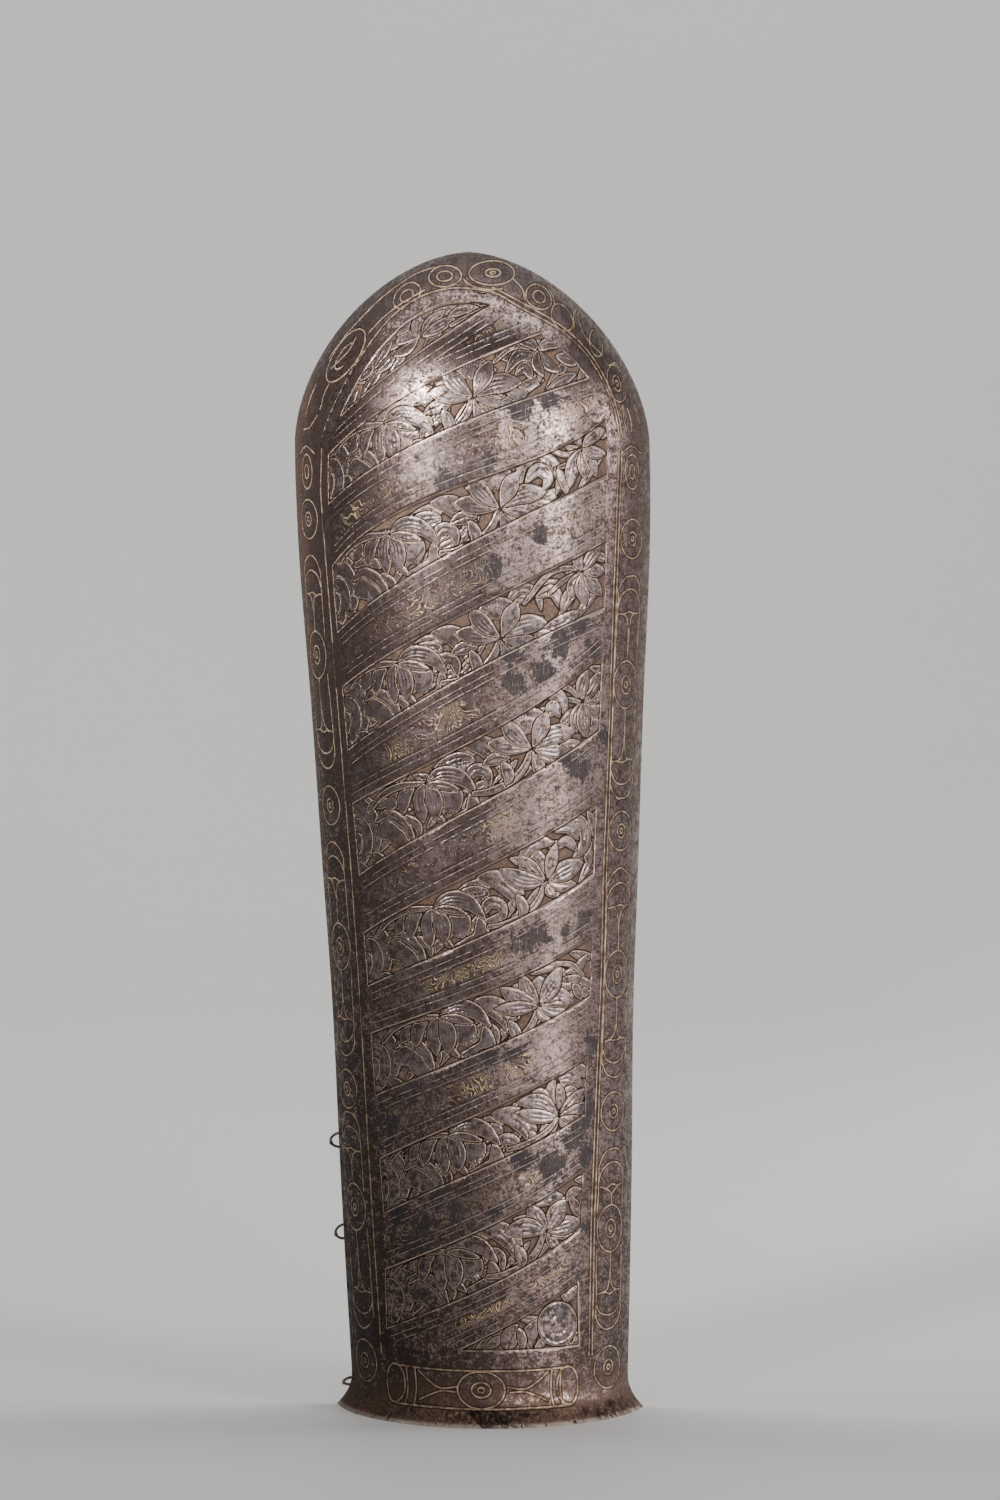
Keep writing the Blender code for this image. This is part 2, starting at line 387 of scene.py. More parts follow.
# half a rosette and the curled leaf beside it, from the middle of the band's left end
leftCurls = (
    (3, 1, ((1, 13.4), (4.6, 11.4), (8.4, 10.6))),
    (6.6, 2, ((-3, 11.4), (2.8, 9.2), (7.6, 3), (6.8, -6.2)), {"fullest": 0.42}),
    (4.6, 1, ((-2, 5.2), (3.4, 4), (4.6, -1.2), (1.8, -8.4))),
    (2.6, 0, ((-1.6, 1), (1.2, 0.4), (1, -4.6))),
    (3.4, 1, ((0.4, -6.2), (2.4, -8.6), (6.4, -9.8))),
    (3.6, 1, ((5, -4.2), (9, -5.2), (13, -9))),
    (3, 1, ((8.8, 9.4), (13.6, 11.4), (20.6, 9.4))),
    (7.4, 0, ((8.6, 1.6), (13.6, 3.4), (17.6, 0.4), (19, -5.6)), {"fullest": 0.45}),
    (3.4, "hatch", ((10.4, -1.6), (13, -1.2), (15.2, -4.2)), {"spacing": 1.15, "depth": 0.15}),
    (3.2, 1, ((8.4, 5.2), (12.4, 8), (18.2, 5.4), (21.6, -0.6))),
    (2.4, 0, ((18.6, 8), (22.4, 5), (23, 1.6))),
)

# veined leaves between the two flowers, from a spot below and left of the upright one
middleLeaves = (
    (3.4, 1, ((-9, 10), (-3.4, 12), (3.6, 12.8))),
    (3, 1, ((-3, 0.8), (1.4, 1.6), (6, 4.6))),
    (5.6, 3, ((0.5, 9.9), (-5, 8.8), (-12.6, 5.6)), {"fullest": 0.4}),
    (2.4, "hatch", ((-6.5, 7.4), (-3.2, 8.6), (-0.8, 10.6)), {"spacing": 1, "depth": 0.12}),
    (3.4, 1, ((-2.4, 2.6), (0.4, 6.8), (3.8, 6.2), (4.8, 1.8))),
    (6.2, 2, ((9.2, 4.6), (7.8, 10), (3.6, 13.6), (-2.8, 14.4))),
    (2.6, "hatch", ((2.2, 9.6), (5.2, 8.6), (7.6, 6.4)), {"spacing": 1.1, "depth": 0.14}),
    (3.6, 1, ((5.6, 1.6), (10, 3.4), (10.2, 8.8))),
)

# from the upright lotus to the little flower in the upper corner, in band 4
rightLeaves = (
    (5, 1, ((15.4, 4.2), (19, 5), (23.4, 8))),
    (5, 2, ((2.2, 13.4), (-2.6, 12.2), (-7.4, 9.4))),
    (1.5, "stem", ((6, 17), (11.4, 17.2), (16.4, 13.4))),
    (1.3, "stem", ((9.6, 13.8), (13, 13.6), (16.4, 12.6))),
    (3.8, 1, ((1.4, 12), (4.6, 15.8), (9.4, 14.2), (10.8, 8.6))),
    (3.2, 0, ((4.2, 10.6), (6.8, 12), (8.8, 8.6))),
    (4.2, 2, ((8.2, 5.8), (11.6, 7.8), (16, 11.8))),
    (4, 2, ((16.6, 12.6), (14.2, 8.4), (14.2, 4))),
    (4.8, 3, ((17, 12.6), (17, 7.6), (17.8, 2.8))),
    (4.4, 2, ((17.4, 12.8), (21.6, 10.2), (24, 8.2))),
    (3.6, 2, ((17.4, 13.4), (21.4, 14), (25.6, 15.4))),
    (4, 2, ((17.2, 13.6), (20.2, 16.6), (23.8, 21.4))),
    (4.2, 2, ((16.8, 13.6), (16.6, 17), (18.6, 22))),
)

# strokes of one band each, charted from the ridge and the foot of the plate
bandStrokes = {
    "carvedBand0": (
        (2.6, 1, ((-33.5, 302.4), (-30, 304.4), (-27.2, 306.6))),
        (2.8, 1, ((-27, 305.8), (-24.6, 309.8), (-21.4, 313.4))),
        (2.8, 1, ((-26, 304.6), (-22.4, 307.6), (-19.8, 311))),
        (2.6, 0, ((-20.6, 309.2), (-16.4, 311.2), (-13, 314))),
        (3.4, 2, ((-20.4, 312.8), (-16.4, 315), (-12.4, 314.8))),
        (2.8, 1, ((-20, 315.4), (-16.6, 318), (-13.6, 319.4))),
        (3.8, 2, ((-12.2, 315.2), (-13.4, 317.6), (-12.6, 320.6))),
        (3.2, 2, ((-11.8, 315.2), (-9.4, 319), (-5.2, 322.6))),
        (3.2, 2, ((-11.6, 314.9), (-7, 317.6), (-2, 320.8))),
        (2.6, 1, ((-4.4, 320.4), (-0.4, 322.6), (4.6, 323.4))),
        (1.3, "stem", ((-3.2, 318.2), (1.6, 320.6), (6, 323))),
    ),
    "carvedBand1": (
        (3.4, 1, ((14.4, 296.6), (19, 300.6), (24.4, 302.6))),
        (3, 1, ((25, 299), (30, 302), (35.6, 304.4))),
        (3.6, 1, ((12.6, 304), (17, 309.6), (22.6, 307.4), (23, 301.8))),
        (3, 1, ((15.6, 303.8), (18.6, 306), (20.4, 302.6))),
        (1.3, "stem", ((9.4, 307.6), (15, 311.8), (22.4, 311.2))),
        (3, 1, ((22.5, 311), (20, 313.2), (16.4, 313.4))),
        (3.2, 2, ((22.6, 311.2), (26.2, 313), (29.6, 312))),
        (3.2, 2, ((22.5, 310.8), (25.4, 307.2), (29.4, 304.8))),
        (2.8, 1, ((22.4, 310.8), (22, 307.4), (24.2, 303.4))),
        (3.4, 1, ((28.6, 309.4), (32, 308.6), (36, 307))),
    ),
    "carvedBand2": (
        (3.6, 1, ((18, 266.4), (23.6, 268.4), (29.6, 271.6))),
        (4.2, 1, ((16.6, 272.4), (17.6, 278.8), (24, 279.8), (28.6, 275.4), (27.6, 269.6))),
        (3.8, 1, ((18, 272.8), (21.8, 276.8), (25, 274.4), (23.4, 270.6))),
        (1.6, "stem", ((15.4, 278.4), (24, 282.6), (30.6, 281), (36, 282.4))),
        (1.4, "stem", ((27.4, 277), (31.2, 278.4), (35.8, 282.2))),
        (3.2, 1, ((31, 269.6), (30, 273.4), (27.8, 277))),
        (4.4, 2, ((36.2, 282.6), (33.2, 278), (32, 271.4))),
        (3.8, 2, ((36.4, 282.4), (36.6, 278.6), (37.8, 274))),
        (3.8, 2, ((36.6, 282.6), (39.6, 279.2), (42, 274.6))),
        (3.6, 2, ((36.8, 283), (41, 281.6), (45.6, 281.4))),
        (3.8, 2, ((36.8, 283.4), (41, 286.6), (45.8, 288.4))),
        (3.2, 1, ((36.2, 283.6), (35, 286.2), (37.4, 289.2))),
    ),
    "carvedBand3": (
        (4.4, 1, ((22.4, 231), (28, 232.6), (34.6, 236.2))),
        (3, 1, ((11.6, 238.6), (16, 242.8), (20.8, 241.2), (22.2, 236.4))),
        (1.5, "stem", ((17, 238.6), (24, 246.4), (30, 248.6), (35.4, 248))),
        (3.6, 1, ((20.4, 240.4), (26, 242), (29, 236.2))),
        (1.3, "stem", ((24.6, 241.4), (30, 245.4), (35.4, 247.4))),
        (3.6, 1, ((28.6, 235.6), (30.2, 239.4), (34.4, 244.4))),
        (3.8, 2, ((35.6, 247.2), (32.6, 243.6), (31.4, 239.8))),
        (4.8, 3, ((36, 247), (35.6, 243), (37, 237.8))),
        (4.4, 2, ((36.3, 247.2), (40, 243.6), (43.4, 240.6))),
        (3.8, 2, ((36.5, 247.6), (40.6, 247.8), (44.8, 247.4))),
        (4, 2, ((36.2, 248), (39.2, 251.6), (43.4, 255.4))),
        (3.6, 2, ((35.8, 248), (34.4, 250.8), (35.6, 254))),
    ),
    "carvedBand5": (
        (4.4, 1, ((14, 165), (18.6, 169.6), (24.6, 169.6))),
        (2.6, 0, ((36.4, 178.4), (38.6, 174.6), (38.8, 170.6))),
        (3.2, 1, ((37.8, 170), (36.6, 166.4), (37.2, 161.8))),
        (4.2, 2, ((28.4, 175.4), (33.6, 175.4), (35.6, 171.4), (34.4, 167.4), (30.8, 164.8))),
        (4, 1, ((24.6, 172.8), (29.6, 174), (33.2, 170))),
        (3, 0, ((25.8, 169.2), (29.2, 169.8), (32.4, 167))),
        (6, 0, ((21.6, 159.5), (19.8, 163.5), (19.6, 167.6))),
        (2.8, 1, ((22.2, 157.6), (23, 155.6), (24.8, 153.8))),
        (3.8, 1, ((22.8, 158.2), (26.5, 157.2), (32, 157.2))),
        (5.8, 3, ((22.8, 158.6), (28, 161.2), (34.6, 163.4))),
        (5.2, 3, ((21.6, 158.8), (18, 161), (13.8, 166))),
        (5.2, 3, ((21.2, 158.4), (15, 158.8), (8, 162.2))),
        (3.8, 2, ((22.5, 159.2), (23.6, 163.6), (25.4, 169.2))),
    ),
    "carvedBand6": (
        (3.4, 1, ((16.6, 131.6), (21, 133.6), (26.6, 134.4))),
        (3, 0, ((27.6, 131.8), (31.6, 132.2), (35.6, 136.4))),
        (1.6, "stem", ((25, 134.6), (30.2, 133.6), (34, 130.6))),
        (3.2, 1, ((31.8, 130), (34.4, 128.2), (37.4, 127.6))),
        (4.2, 1, ((25, 129), (29, 128.6), (33, 130.2))),
        (3, 0, ((30, 128.2), (31.8, 126.2), (33.4, 123.4))),
        (3, 1, ((33.6, 126.8), (35.6, 124.8), (37, 125.8))),
        (6.4, 0, ((19.2, 124), (19.3, 127.5), (19.4, 131))),
        (2.8, 1, ((18.4, 122), (20, 119.4), (22.6, 117.6))),
        (3, 1, ((19.6, 121.9), (23.5, 120.4), (28.2, 120.2))),
        (5.6, 3, ((19.6, 122.7), (24.6, 124.6), (30.4, 123))),
        (5.2, 3, ((19.4, 123.2), (22.6, 127.2), (26.2, 133.2))),
        (4.4, 3, ((18.7, 123.1), (15.8, 126.6), (13.8, 131.6))),
        (5, 3, ((18.4, 122.7), (13.4, 124.2), (7.6, 127.8))),
        (4, 2, ((18.4, 122.2), (12.6, 121.8), (5.8, 121.6))),
    ),
    "carvedBand7": (
        (5.8, 2, ((24.8, 100.6), (28.6, 101.2), (32.6, 98))),
        (3.2, 0, ((30, 103.6), (32.8, 103), (35.4, 100.4))),
        (3.8, 1, ((25.6, 95), (28.6, 96.6), (31.8, 95))),
        (3.6, 1, ((23.6, 91.8), (22.2, 96), (23.2, 101.2))),
        (3, 0, ((24.6, 92), (25.4, 95.4), (24.6, 99.4))),
        (3.8, 1, ((21.6, 93.2), (19.2, 96.4), (16.4, 97.4))),
        (4.2, 2, ((25, 90), (29.4, 93.4), (34.4, 97.2))),
        (3.2, 1, ((25, 89.8), (29.6, 90.9), (35.4, 93))),
        (3, 0, ((24.9, 89.2), (26.8, 87.2), (30.2, 86.6))),
        (2.2, 0, ((25.2, 89.5), (28, 88.8), (32.4, 88.8))),
        (5, 3, ((24.2, 90), (19, 94), (11.8, 94.6))),
        (4.2, 2, ((24, 89.6), (18.6, 90), (11, 91.4))),
        (1.6, "stem", ((8.8, 80.8), (15, 82.6), (20.6, 85.6), (24, 89))),
    ),
    "carvedBand8": (
        (4, 1, ((16.6, 64.2), (20.6, 66), (25.6, 66.6))),
        (3, 0, ((26.8, 64.8), (28.8, 67), (32.2, 68))),
        (3.2, 1, ((28, 66.2), (29.8, 63), (31.4, 59.8))),
        (3.2, 1, ((20.3, 55.8), (21.8, 53.2), (24.2, 51.8))),
        (2.4, 0, ((20.6, 56), (25, 55), (29.6, 55.6))),
        (5.4, 3, ((20.5, 56.6), (25.6, 57.8), (31.4, 58.6))),
        (5.6, 2, ((20.3, 57.1), (22.8, 60.8), (26.4, 65.2))),
        (5.4, 3, ((19.8, 57), (17.2, 60), (14.8, 64.4))),
        (5.6, 3, ((19.5, 56.5), (13.8, 57.8), (7.6, 56.6))),
    ),
    "carvedBand9": (
        (2.6, 0, ((1.2, 22.8), (3.6, 24.4), (6.4, 26.2))),
        (5.2, 1, ((7.4, 21.6), (8.2, 25.2), (10.6, 29.6))),
        (4.4, 1, ((14.2, 21.6), (13.6, 25.2), (17, 31))),
        (2.6, 0, ((10.8, 28.6), (11.8, 25.6), (12, 21.8))),
        (3, 0, ((24.4, 37.4), (27, 36.8), (30.4, 39.8))),
        (2.8, 0, ((27.8, 23.4), (30.2, 22.4), (30.6, 26))),
    ),
}

# the spots (across, height) that a band's upper and lower edge run through, then the hearts of
# its drooping and its upright lotus
carvedBands = {
    "carvedBand0": (((-37, 296.5), (-20, 316.5), (0, 325.2)), ((-42, 290.6), (9.4, 325)), None, None),
    "carvedBand1": (
        ((-42, 283), (0, 306.3), (21, 315)),
        ((-45, 267.2), (0, 290), (38, 302.5)), (-23.5, 290), (3.5, 297.5),
    ),
    "carvedBand2": (
        ((-46, 247.8), (-10, 268.8), (20, 279.7), (44, 290.3)),
        ((-43, 230), (-10, 249.7), (20, 264.7), (46, 275)), (-22.5, 258.5), (10.5, 266),
    ),
    "carvedBand3": (
        ((-42, 213.8), (-10, 231.1), (20, 245.8), (45.5, 256.5)),
        ((-41, 195.3), (-10, 212.8), (23, 229.4), (45.5, 237)), (-21, 221.5), (10, 228.8),
    ),
    "carvedBand4": (
        ((-36, 181.3), (5, 201.3), (40, 221.6)),
        ((-36, 160), (0, 179.4), (40, 200.6)), (-13, 187), (18.5, 197),
    ),
    "carvedBand5": (
        ((-34, 143.4), (0, 160.9), (38, 179.7)),
        ((-35, 126.9), (0, 141.6), (38, 159.4)), (-11.5, 151), (22, 158.5),
    ),
    "carvedBand6": (
        ((-35, 112.8), (0, 125.6), (37, 141.3)),
        ((-33, 95), (0, 108.4), (36, 124)), (-10.5, 119.5), (19, 122),
    ),
    "carvedBand7": (
        ((-30, 77.2), (0, 90.9), (34.5, 106)),
        ((-30, 60.9), (0, 74.7), (34, 89.7)), (-8.5, 85.2), (24.5, 89.8),
    ),
    "carvedBand8": (
        ((-28, 45), (0, 57.2), (32, 73.1)),
        ((-29.5, 27), (0, 39.7), (33.5, 57.5)), (-10, 51), (19.5, 56.5),
    ),
    "carvedBand9": (((-9, 20.8), (30.3, 40.9)), ((-7, 22), (30.3, 22)), None, None),
}
bandEnds = {"carvedBand0": (-39.8, 8.15), "carvedBand9": (-6.65, 30.3)}    # of the two that run to a point

# edges of the striped field and the frame line outside them, left then right
frameHeights = (0, 20, 60, 100, 130, 160, 200, 240, 270, 286, 291, 297, 303, 308, 312, 316)
fieldEdges = {
    -1: (-31, -31, -30.8, -33.5, -35.2, -37.3, -41, -44.3, -45.7, -45, -42.5, -38.5, -34, -30, -26, -22),
    1: (30.3, 30.3, 31.8, 34.5, 37, 38.5, 41.3, 44.3, 45.8, 46.4, 46, 44, 40, 35, 29.5, 23.5),
}
frameLines = {
    -1: (
        -33, -33, -35.3, -37.3, -38.7, -40.3, -43.5, -46.5,
        -49, -47.6, -45, -41, -36.5, -32.5, -28.5, -24.5,
    ),
    1: (33.2, 33.2, 35, 38, 40.5, 41.8, 44.8, 47.2, 49.5, 51, 48.3, 46.4, 42.4, 37.4, 31.9, 25.9),
}
panels = {
    "bandStep": 0.27,                  # millimetres between the points of a panel
    "borderStep": 0.31,
    "archStep": 0.8,
    "fieldFoot": 21.5,
    "underArch": 1.5,                  # from the field's top to the arch border
    "rimGap": 4.0,
    "foot": 6.5,                       # of the side borders
    "head": 286.0,
    "borderSpan": 18.0,                # length that the rows over a border are counted on
    "archSpan": 400,
}


# pairs of points of the arch border, inner then outer, from its left foot over to its right
archStations = (
    ((-43.5, 293), (-64, 295)), ((-38, 301), (-58, 303.5)), ((-33.5, 307), (-49.8, 311.4)),
    ((-28.5, 313), (-42.6, 317.6)), ((-23.5, 318.5), (-34.4, 324.2)), ((-17.5, 323.3), (-25.2, 330.4)),
    ((-10, 326.8), (-14.4, 335.4)), ((-2, 328.2), (-3.2, 337.9)), ((8, 327), (8.6, 338.2)),
    ((14, 324), (18.2, 335.3)), ((20, 321), (26.4, 332.2)), ((26, 318.3), (34.6, 328.6)),
    ((32, 315), (42.6, 324.9)), ((38, 310.8), (50.2, 319.8)), ((43, 305.5), (57, 312.9)),
    ((47.5, 298.5), (62.8, 304.2)), ((50, 291.5), (66.6, 295)),
)


def edgeAt(table, side, height):
    return np.interp(height, frameHeights, table[side])


def bandEdge(spots, across):
    # the curve through an edge's spots
    places, heights = np.array(spots, float).T
    return np.polyval(np.polyfit(places, heights, len(spots) - 1), across)


def edgeSlope(spots):
    (startPlace, startHeight), (endPlace, endHeight) = spots[0], spots[-1]
    return (endHeight - startHeight) / (endPlace - startPlace)


def bandStretch(upper, lower):
    # length along a band for each millimetre across
    return math.hypot(1, (edgeSlope(upper) + edgeSlope(lower)) / 2)


def halfArc(height):
    radius, halfAngle, _ = levelSection(np.asarray(height) / 1000)
    return radius * halfAngle * 1000


def spread(length, margin, step):
    # places across a panel in millimetres, coarse over its plain rim, with a skirt at each end
    count = max(4, int(round(length / step)))
    middle = np.linspace(0, length, count + 1)
    if margin <= 0:
        return np.concatenate(([-0.02], middle, [length + 0.02]))
    low = [-margin - 0.02, -margin, -margin * 0.5, -0.3]
    high = [length + 0.3, length + margin * 0.5, length + margin, length + margin + 0.02]
    return np.concatenate((low, middle, high))


def bandGaps(across, height):
    # distance outside the nearest carved band, negative within one, and distance inside the field
    nearest = np.full(across.shape, 50.0)
    for name, (upper, lower, _, _) in carvedBands.items():
        top, bottom = bandEdge(upper, across), bandEdge(lower, across)
        gap = np.maximum(height - top, bottom - height) / bandStretch(upper, lower)
        if name in bandEnds:
            left, right = bandEnds[name]
            gap = np.maximum(gap, np.maximum(left - across, across - right))
        nearest = np.where(np.abs(gap) < np.abs(nearest), gap, nearest)
    inset = np.minimum(across - edgeAt(fieldEdges, -1, height), edgeAt(fieldEdges, 1, height) - across)
    inset = np.minimum(inset, height - panels["fieldFoot"])
    crown = np.array([inner for inner, _ in archStations])
    arch = np.interp(across, crown[:, 0], crown[:, 1])
    return nearest, np.minimum(inset, arch - panels["underArch"] - height)


# across, height and size in millimetres of the dark tarnish, and of the places that keep gilding
tarnishSpots = (
    (17, 295, 3.8), (25.5, 297, 2.8), (8, 279, 2.2), (-5, 274, 2.6), (11, 262, 2), (22, 259, 2.2),
    (8, 249, 3.2), (1, 245, 2.2), (30, 246, 2.4), (35, 233, 3.2), (28, 228, 3.4), (19, 230, 2.4),
    (12, 225, 3.4), (22, 219, 3), (13, 216, 2.6), (39, 225, 2.8), (34, 191, 3.4), (29, 194, 2.4),
    (28, 144, 1.1), (16, 141, 3.2), (20, 143, 2.4), (35, 147, 2.2), (12, 108, 2.6), (3, 108, 2.6),
    (-20, 97, 3.4), (-28, 86, 3.4), (32, 87, 3.6), (29, 82, 2.6), (34, 78, 2.6), (22, 76, 4.2),
    (13, 78, 3), (-12, 67, 2.8), (-7, 63, 2.6), (5, 63, 2), (-18, 57, 3.4), (-20, 53, 3.2),
    (-26, 61, 2.8), (36, 55, 3), (35, 92, 3), (37, 110, 2.6), (44, 200, 2.2), (25, 33, 2.2),
)
giltSpots = (
    (-31, 296, 5.5), (-20, 303, 4), (4, 314, 6), (12, 318, 4), (36, 297, 5), (15, 287, 3.5), (-35, 264, 4),
    (-28, 261, 3.5), (42, 268, 3.5), (-12, 236, 4), (2, 241, 3.5), (-4, 205, 6), (-20, 192, 5),
    (8, 176, 4), (-8, 131, 6), (4, 134, 4.5), (14, 104, 4.5), (0, 99, 4), (20, 42, 5), (5, 34, 4.5),
    (-4, 31, 3.5), (15, 72, 3),
)


def spotted(table, across, height):
    amount = np.zeros(across.shape)
    for centre, level, size in table:
        away = ((across - centre) ** 2 + (height - level) ** 2) / (1.2 * size) ** 2
        amount = np.maximum(amount, np.exp(-away))
    return amount


def pointLayer(mesh, name, values):
    layer = mesh.attributes.new(name, "FLOAT", "POINT")
    layer.data.foreach_set("value", np.ascontiguousarray(values, dtype=np.float32))


def surfaceLayers(mesh, across, height):
    # what the steel's wear follows, and a map of across and height in tenths of a metre
    gap, inset = bandGaps(across, height)
    pointLayer(mesh, "bandGap", gap)
    pointLayer(mesh, "fieldInset", inset)
    pointLayer(mesh, "tarnish", spotted(tarnishSpots, across, height))
    pointLayer(mesh, "gilt", spotted(giltSpots, across, height))
    corners = np.empty(len(mesh.loops), dtype=np.int32)
    mesh.loops.foreach_get("vertex_index", corners)
    layer = mesh.uv_layers.new(name="surfaceMap")
    layer.data.foreach_set("uv", np.stack((across[corners], height[corners]), -1).ravel() / 100)


def makePanel(name, columns, rows, place, carve, flush, steel):
    # a carved grid, with its outermost ring of points turned down into the plate as a skirt
    grid = bmesh.new()
    bmesh.ops.create_grid(grid, x_segments=len(columns) - 1, y_segments=len(rows) - 1, size=1.0)
    mesh = bpy.data.meshes.new(name)
    grid.to_mesh(mesh)
    grid.free()
    flat = vertexArray(mesh)
    column = np.rint((flat[:, 0] + 1) / 2 * (len(columns) - 1)).astype(int)
    row = np.rint((flat[:, 1] + 1) / 2 * (len(rows) - 1)).astype(int)
    across, height = place(columns[column], rows[row])
    relief = Relief(across, height, cutting["ground"])
    carve(relief)
    skirt = (column == 0) | (column == len(columns) - 1) | (row == 0) | (row == len(rows) - 1)
    lift = np.where(skirt, cutting["skirt"], relief.lift + flush)
    writeVertices(mesh, plateSpot(across / 1000, height / 1000, lift / 1000))
    pointLayer(mesh, "ground", soften(-relief.lift, 0.26, 0.36))
    pointLayer(mesh, "inlayGap", relief.line)
    pointLayer(mesh, "leafEdge", relief.edge)
    surfaceLayers(mesh, across, height)
    newPiece(name, mesh, (steel,))
    mesh.shade_smooth()
    mesh.set_sharp_from_angle(angle=math.radians(cutting["crisp"]))
    order = np.empty((len(rows), len(columns)), int)
    order[row, column] = np.arange(len(row))
    ring = np.concatenate((order[1, 1:-1], order[1:-1, -2], order[-2, -2:0:-1], order[-2:0:-1, 1]))
    print(name + ":", len(mesh.polygons), "faces")
    return np.stack((across[ring], height[ring]), axis=-1)


def bandSides(name, height):
    if name in bandEnds:
        low, high = bandEnds[name]
        return low + 0 * height, high + 0 * height
    return edgeAt(frameLines, -1, height) - 0.15, edgeAt(frameLines, 1, height) + 0.15


def makeBand(name, steel):
    upper, lower, _, _ = carvedBands[name]
    slope = bandStretch(upper, lower)
    low, high = bandEnds.get(name, (-38.0, 38.0))
    middle = (low + high) / 2
    width = max(3.0, (bandEdge(upper, middle) - bandEdge(lower, middle)) / slope)
    length = (high - low) * slope
    ownEnds = name in bandEnds
    columns = spread(length, cutting["margin"] if ownEnds else 0.0, panels["bandStep"])
    rows = spread(width, cutting["margin"], panels["bandStep"])

    def place(u, v):
        # the band's sides depend on the height, so both are worked out in turn until they agree
        part = v / width
        height = bandEdge(lower, middle) + 0 * u
        for _ in range(14):
            left, right = bandSides(name, height)
            across = left + (right - left) * u / length
            top, bottom = bandEdge(upper, across), bandEdge(lower, across)
            inner = bottom + (top - bottom) * np.clip(part, 0, 1)
            beyond = (np.maximum(part - 1, 0) + np.minimum(part, 0)) * width * slope
            height = inner + beyond
        return across, height

    def carve(relief):
        carveBand(relief, name)
        top, bottom = bandEdge(upper, relief.across), bandEdge(lower, relief.across)
        if ownEnds:
            left, right = low, high
        else:
            left, right = (edgeAt(fieldEdges, side, relief.height) for side in (-1, 1))
        inside = np.minimum(top - relief.height, relief.height - bottom) / slope
        inside = np.minimum(inside, np.minimum(relief.across - left, right - relief.across))
        relief.lift = relief.lift * soften(inside, -cutting["wall"], cutting["wall"])
        # outside the band, the leaves stop and the plain steel begins
        relief.edge = np.where(inside > 0.45, relief.edge, np.minimum(relief.edge, -np.abs(inside)))
        relief.edge = np.where(inside < 0, -inside, relief.edge)

    return makePanel(name, columns, rows, place, carve, cutting["bandFlush"], steel)


def underLeaves(relief, name):
    # broad leaves behind the flowers, which leave only small pockets of ground
    upper, lower, _, _ = carvedBands[name]
    chance = np.random.default_rng(len(name) + int(bandEdge(upper, 0.0)))
    for across in np.arange(-46.0, 48.0, 9.4):
        for part, lean in ((0.20, 0.9), (0.80, -0.7)):
            place = across + chance.uniform(-1.2, 1.2) + (4.7 if part > 0.5 else 0.0)
            middle = bandEdge(lower, place) * (1 - part) + bandEdge(upper, place) * part
            reach = chance.uniform(3.8, 4.8)
            rise = reach * (edgeSlope(upper) + lean * chance.uniform(0.5, 1.0))
            steps = ((-reach, -rise), (0, 0.5 * lean), (reach, rise))
            path = [(place + run, middle + climb) for run, climb in steps]
            relief.leaf(path, chance.uniform(2.2, 3.0), 1, top=-0.12)


def leftEnd(upper, lower):
    # middle of a band's left end, where its middle line meets the field's edge
    left = -40.0
    for _ in range(6):
        left = float(edgeAt(fieldEdges, -1, (bandEdge(upper, left) + bandEdge(lower, left)) / 2))
    return left, (bandEdge(upper, left) + bandEdge(lower, left)) / 2


def carveBand(relief, name):
    upper, lower, drooping, upright = carvedBands[name]
    underLeaves(relief, name)
    if drooping is None:
        relief.strokes(bandStrokes[name])
        if name == "carvedBand9":
            relief.disc((23.2, 28.9), 6.5, 2.7)
        return
    relief.strokes(leftCurls, leftEnd(upper, lower))
    relief.strokes(middleLeaves, (upright[0] - 17.5, upright[1] - 13.0))
    relief.strokes(droopingLotus, drooping)
    if name == "carvedBand4":
        relief.strokes(rightLeaves, upright)
        relief.strokes(uprightLotus, upright)
    elif name in ("carvedBand1", "carvedBand2", "carvedBand3"):
        relief.strokes(bandStrokes[name])
        relief.strokes(uprightLotus, upright)
    else:
        relief.strokes(lotusStem, upright)
        relief.strokes(bandStrokes[name])


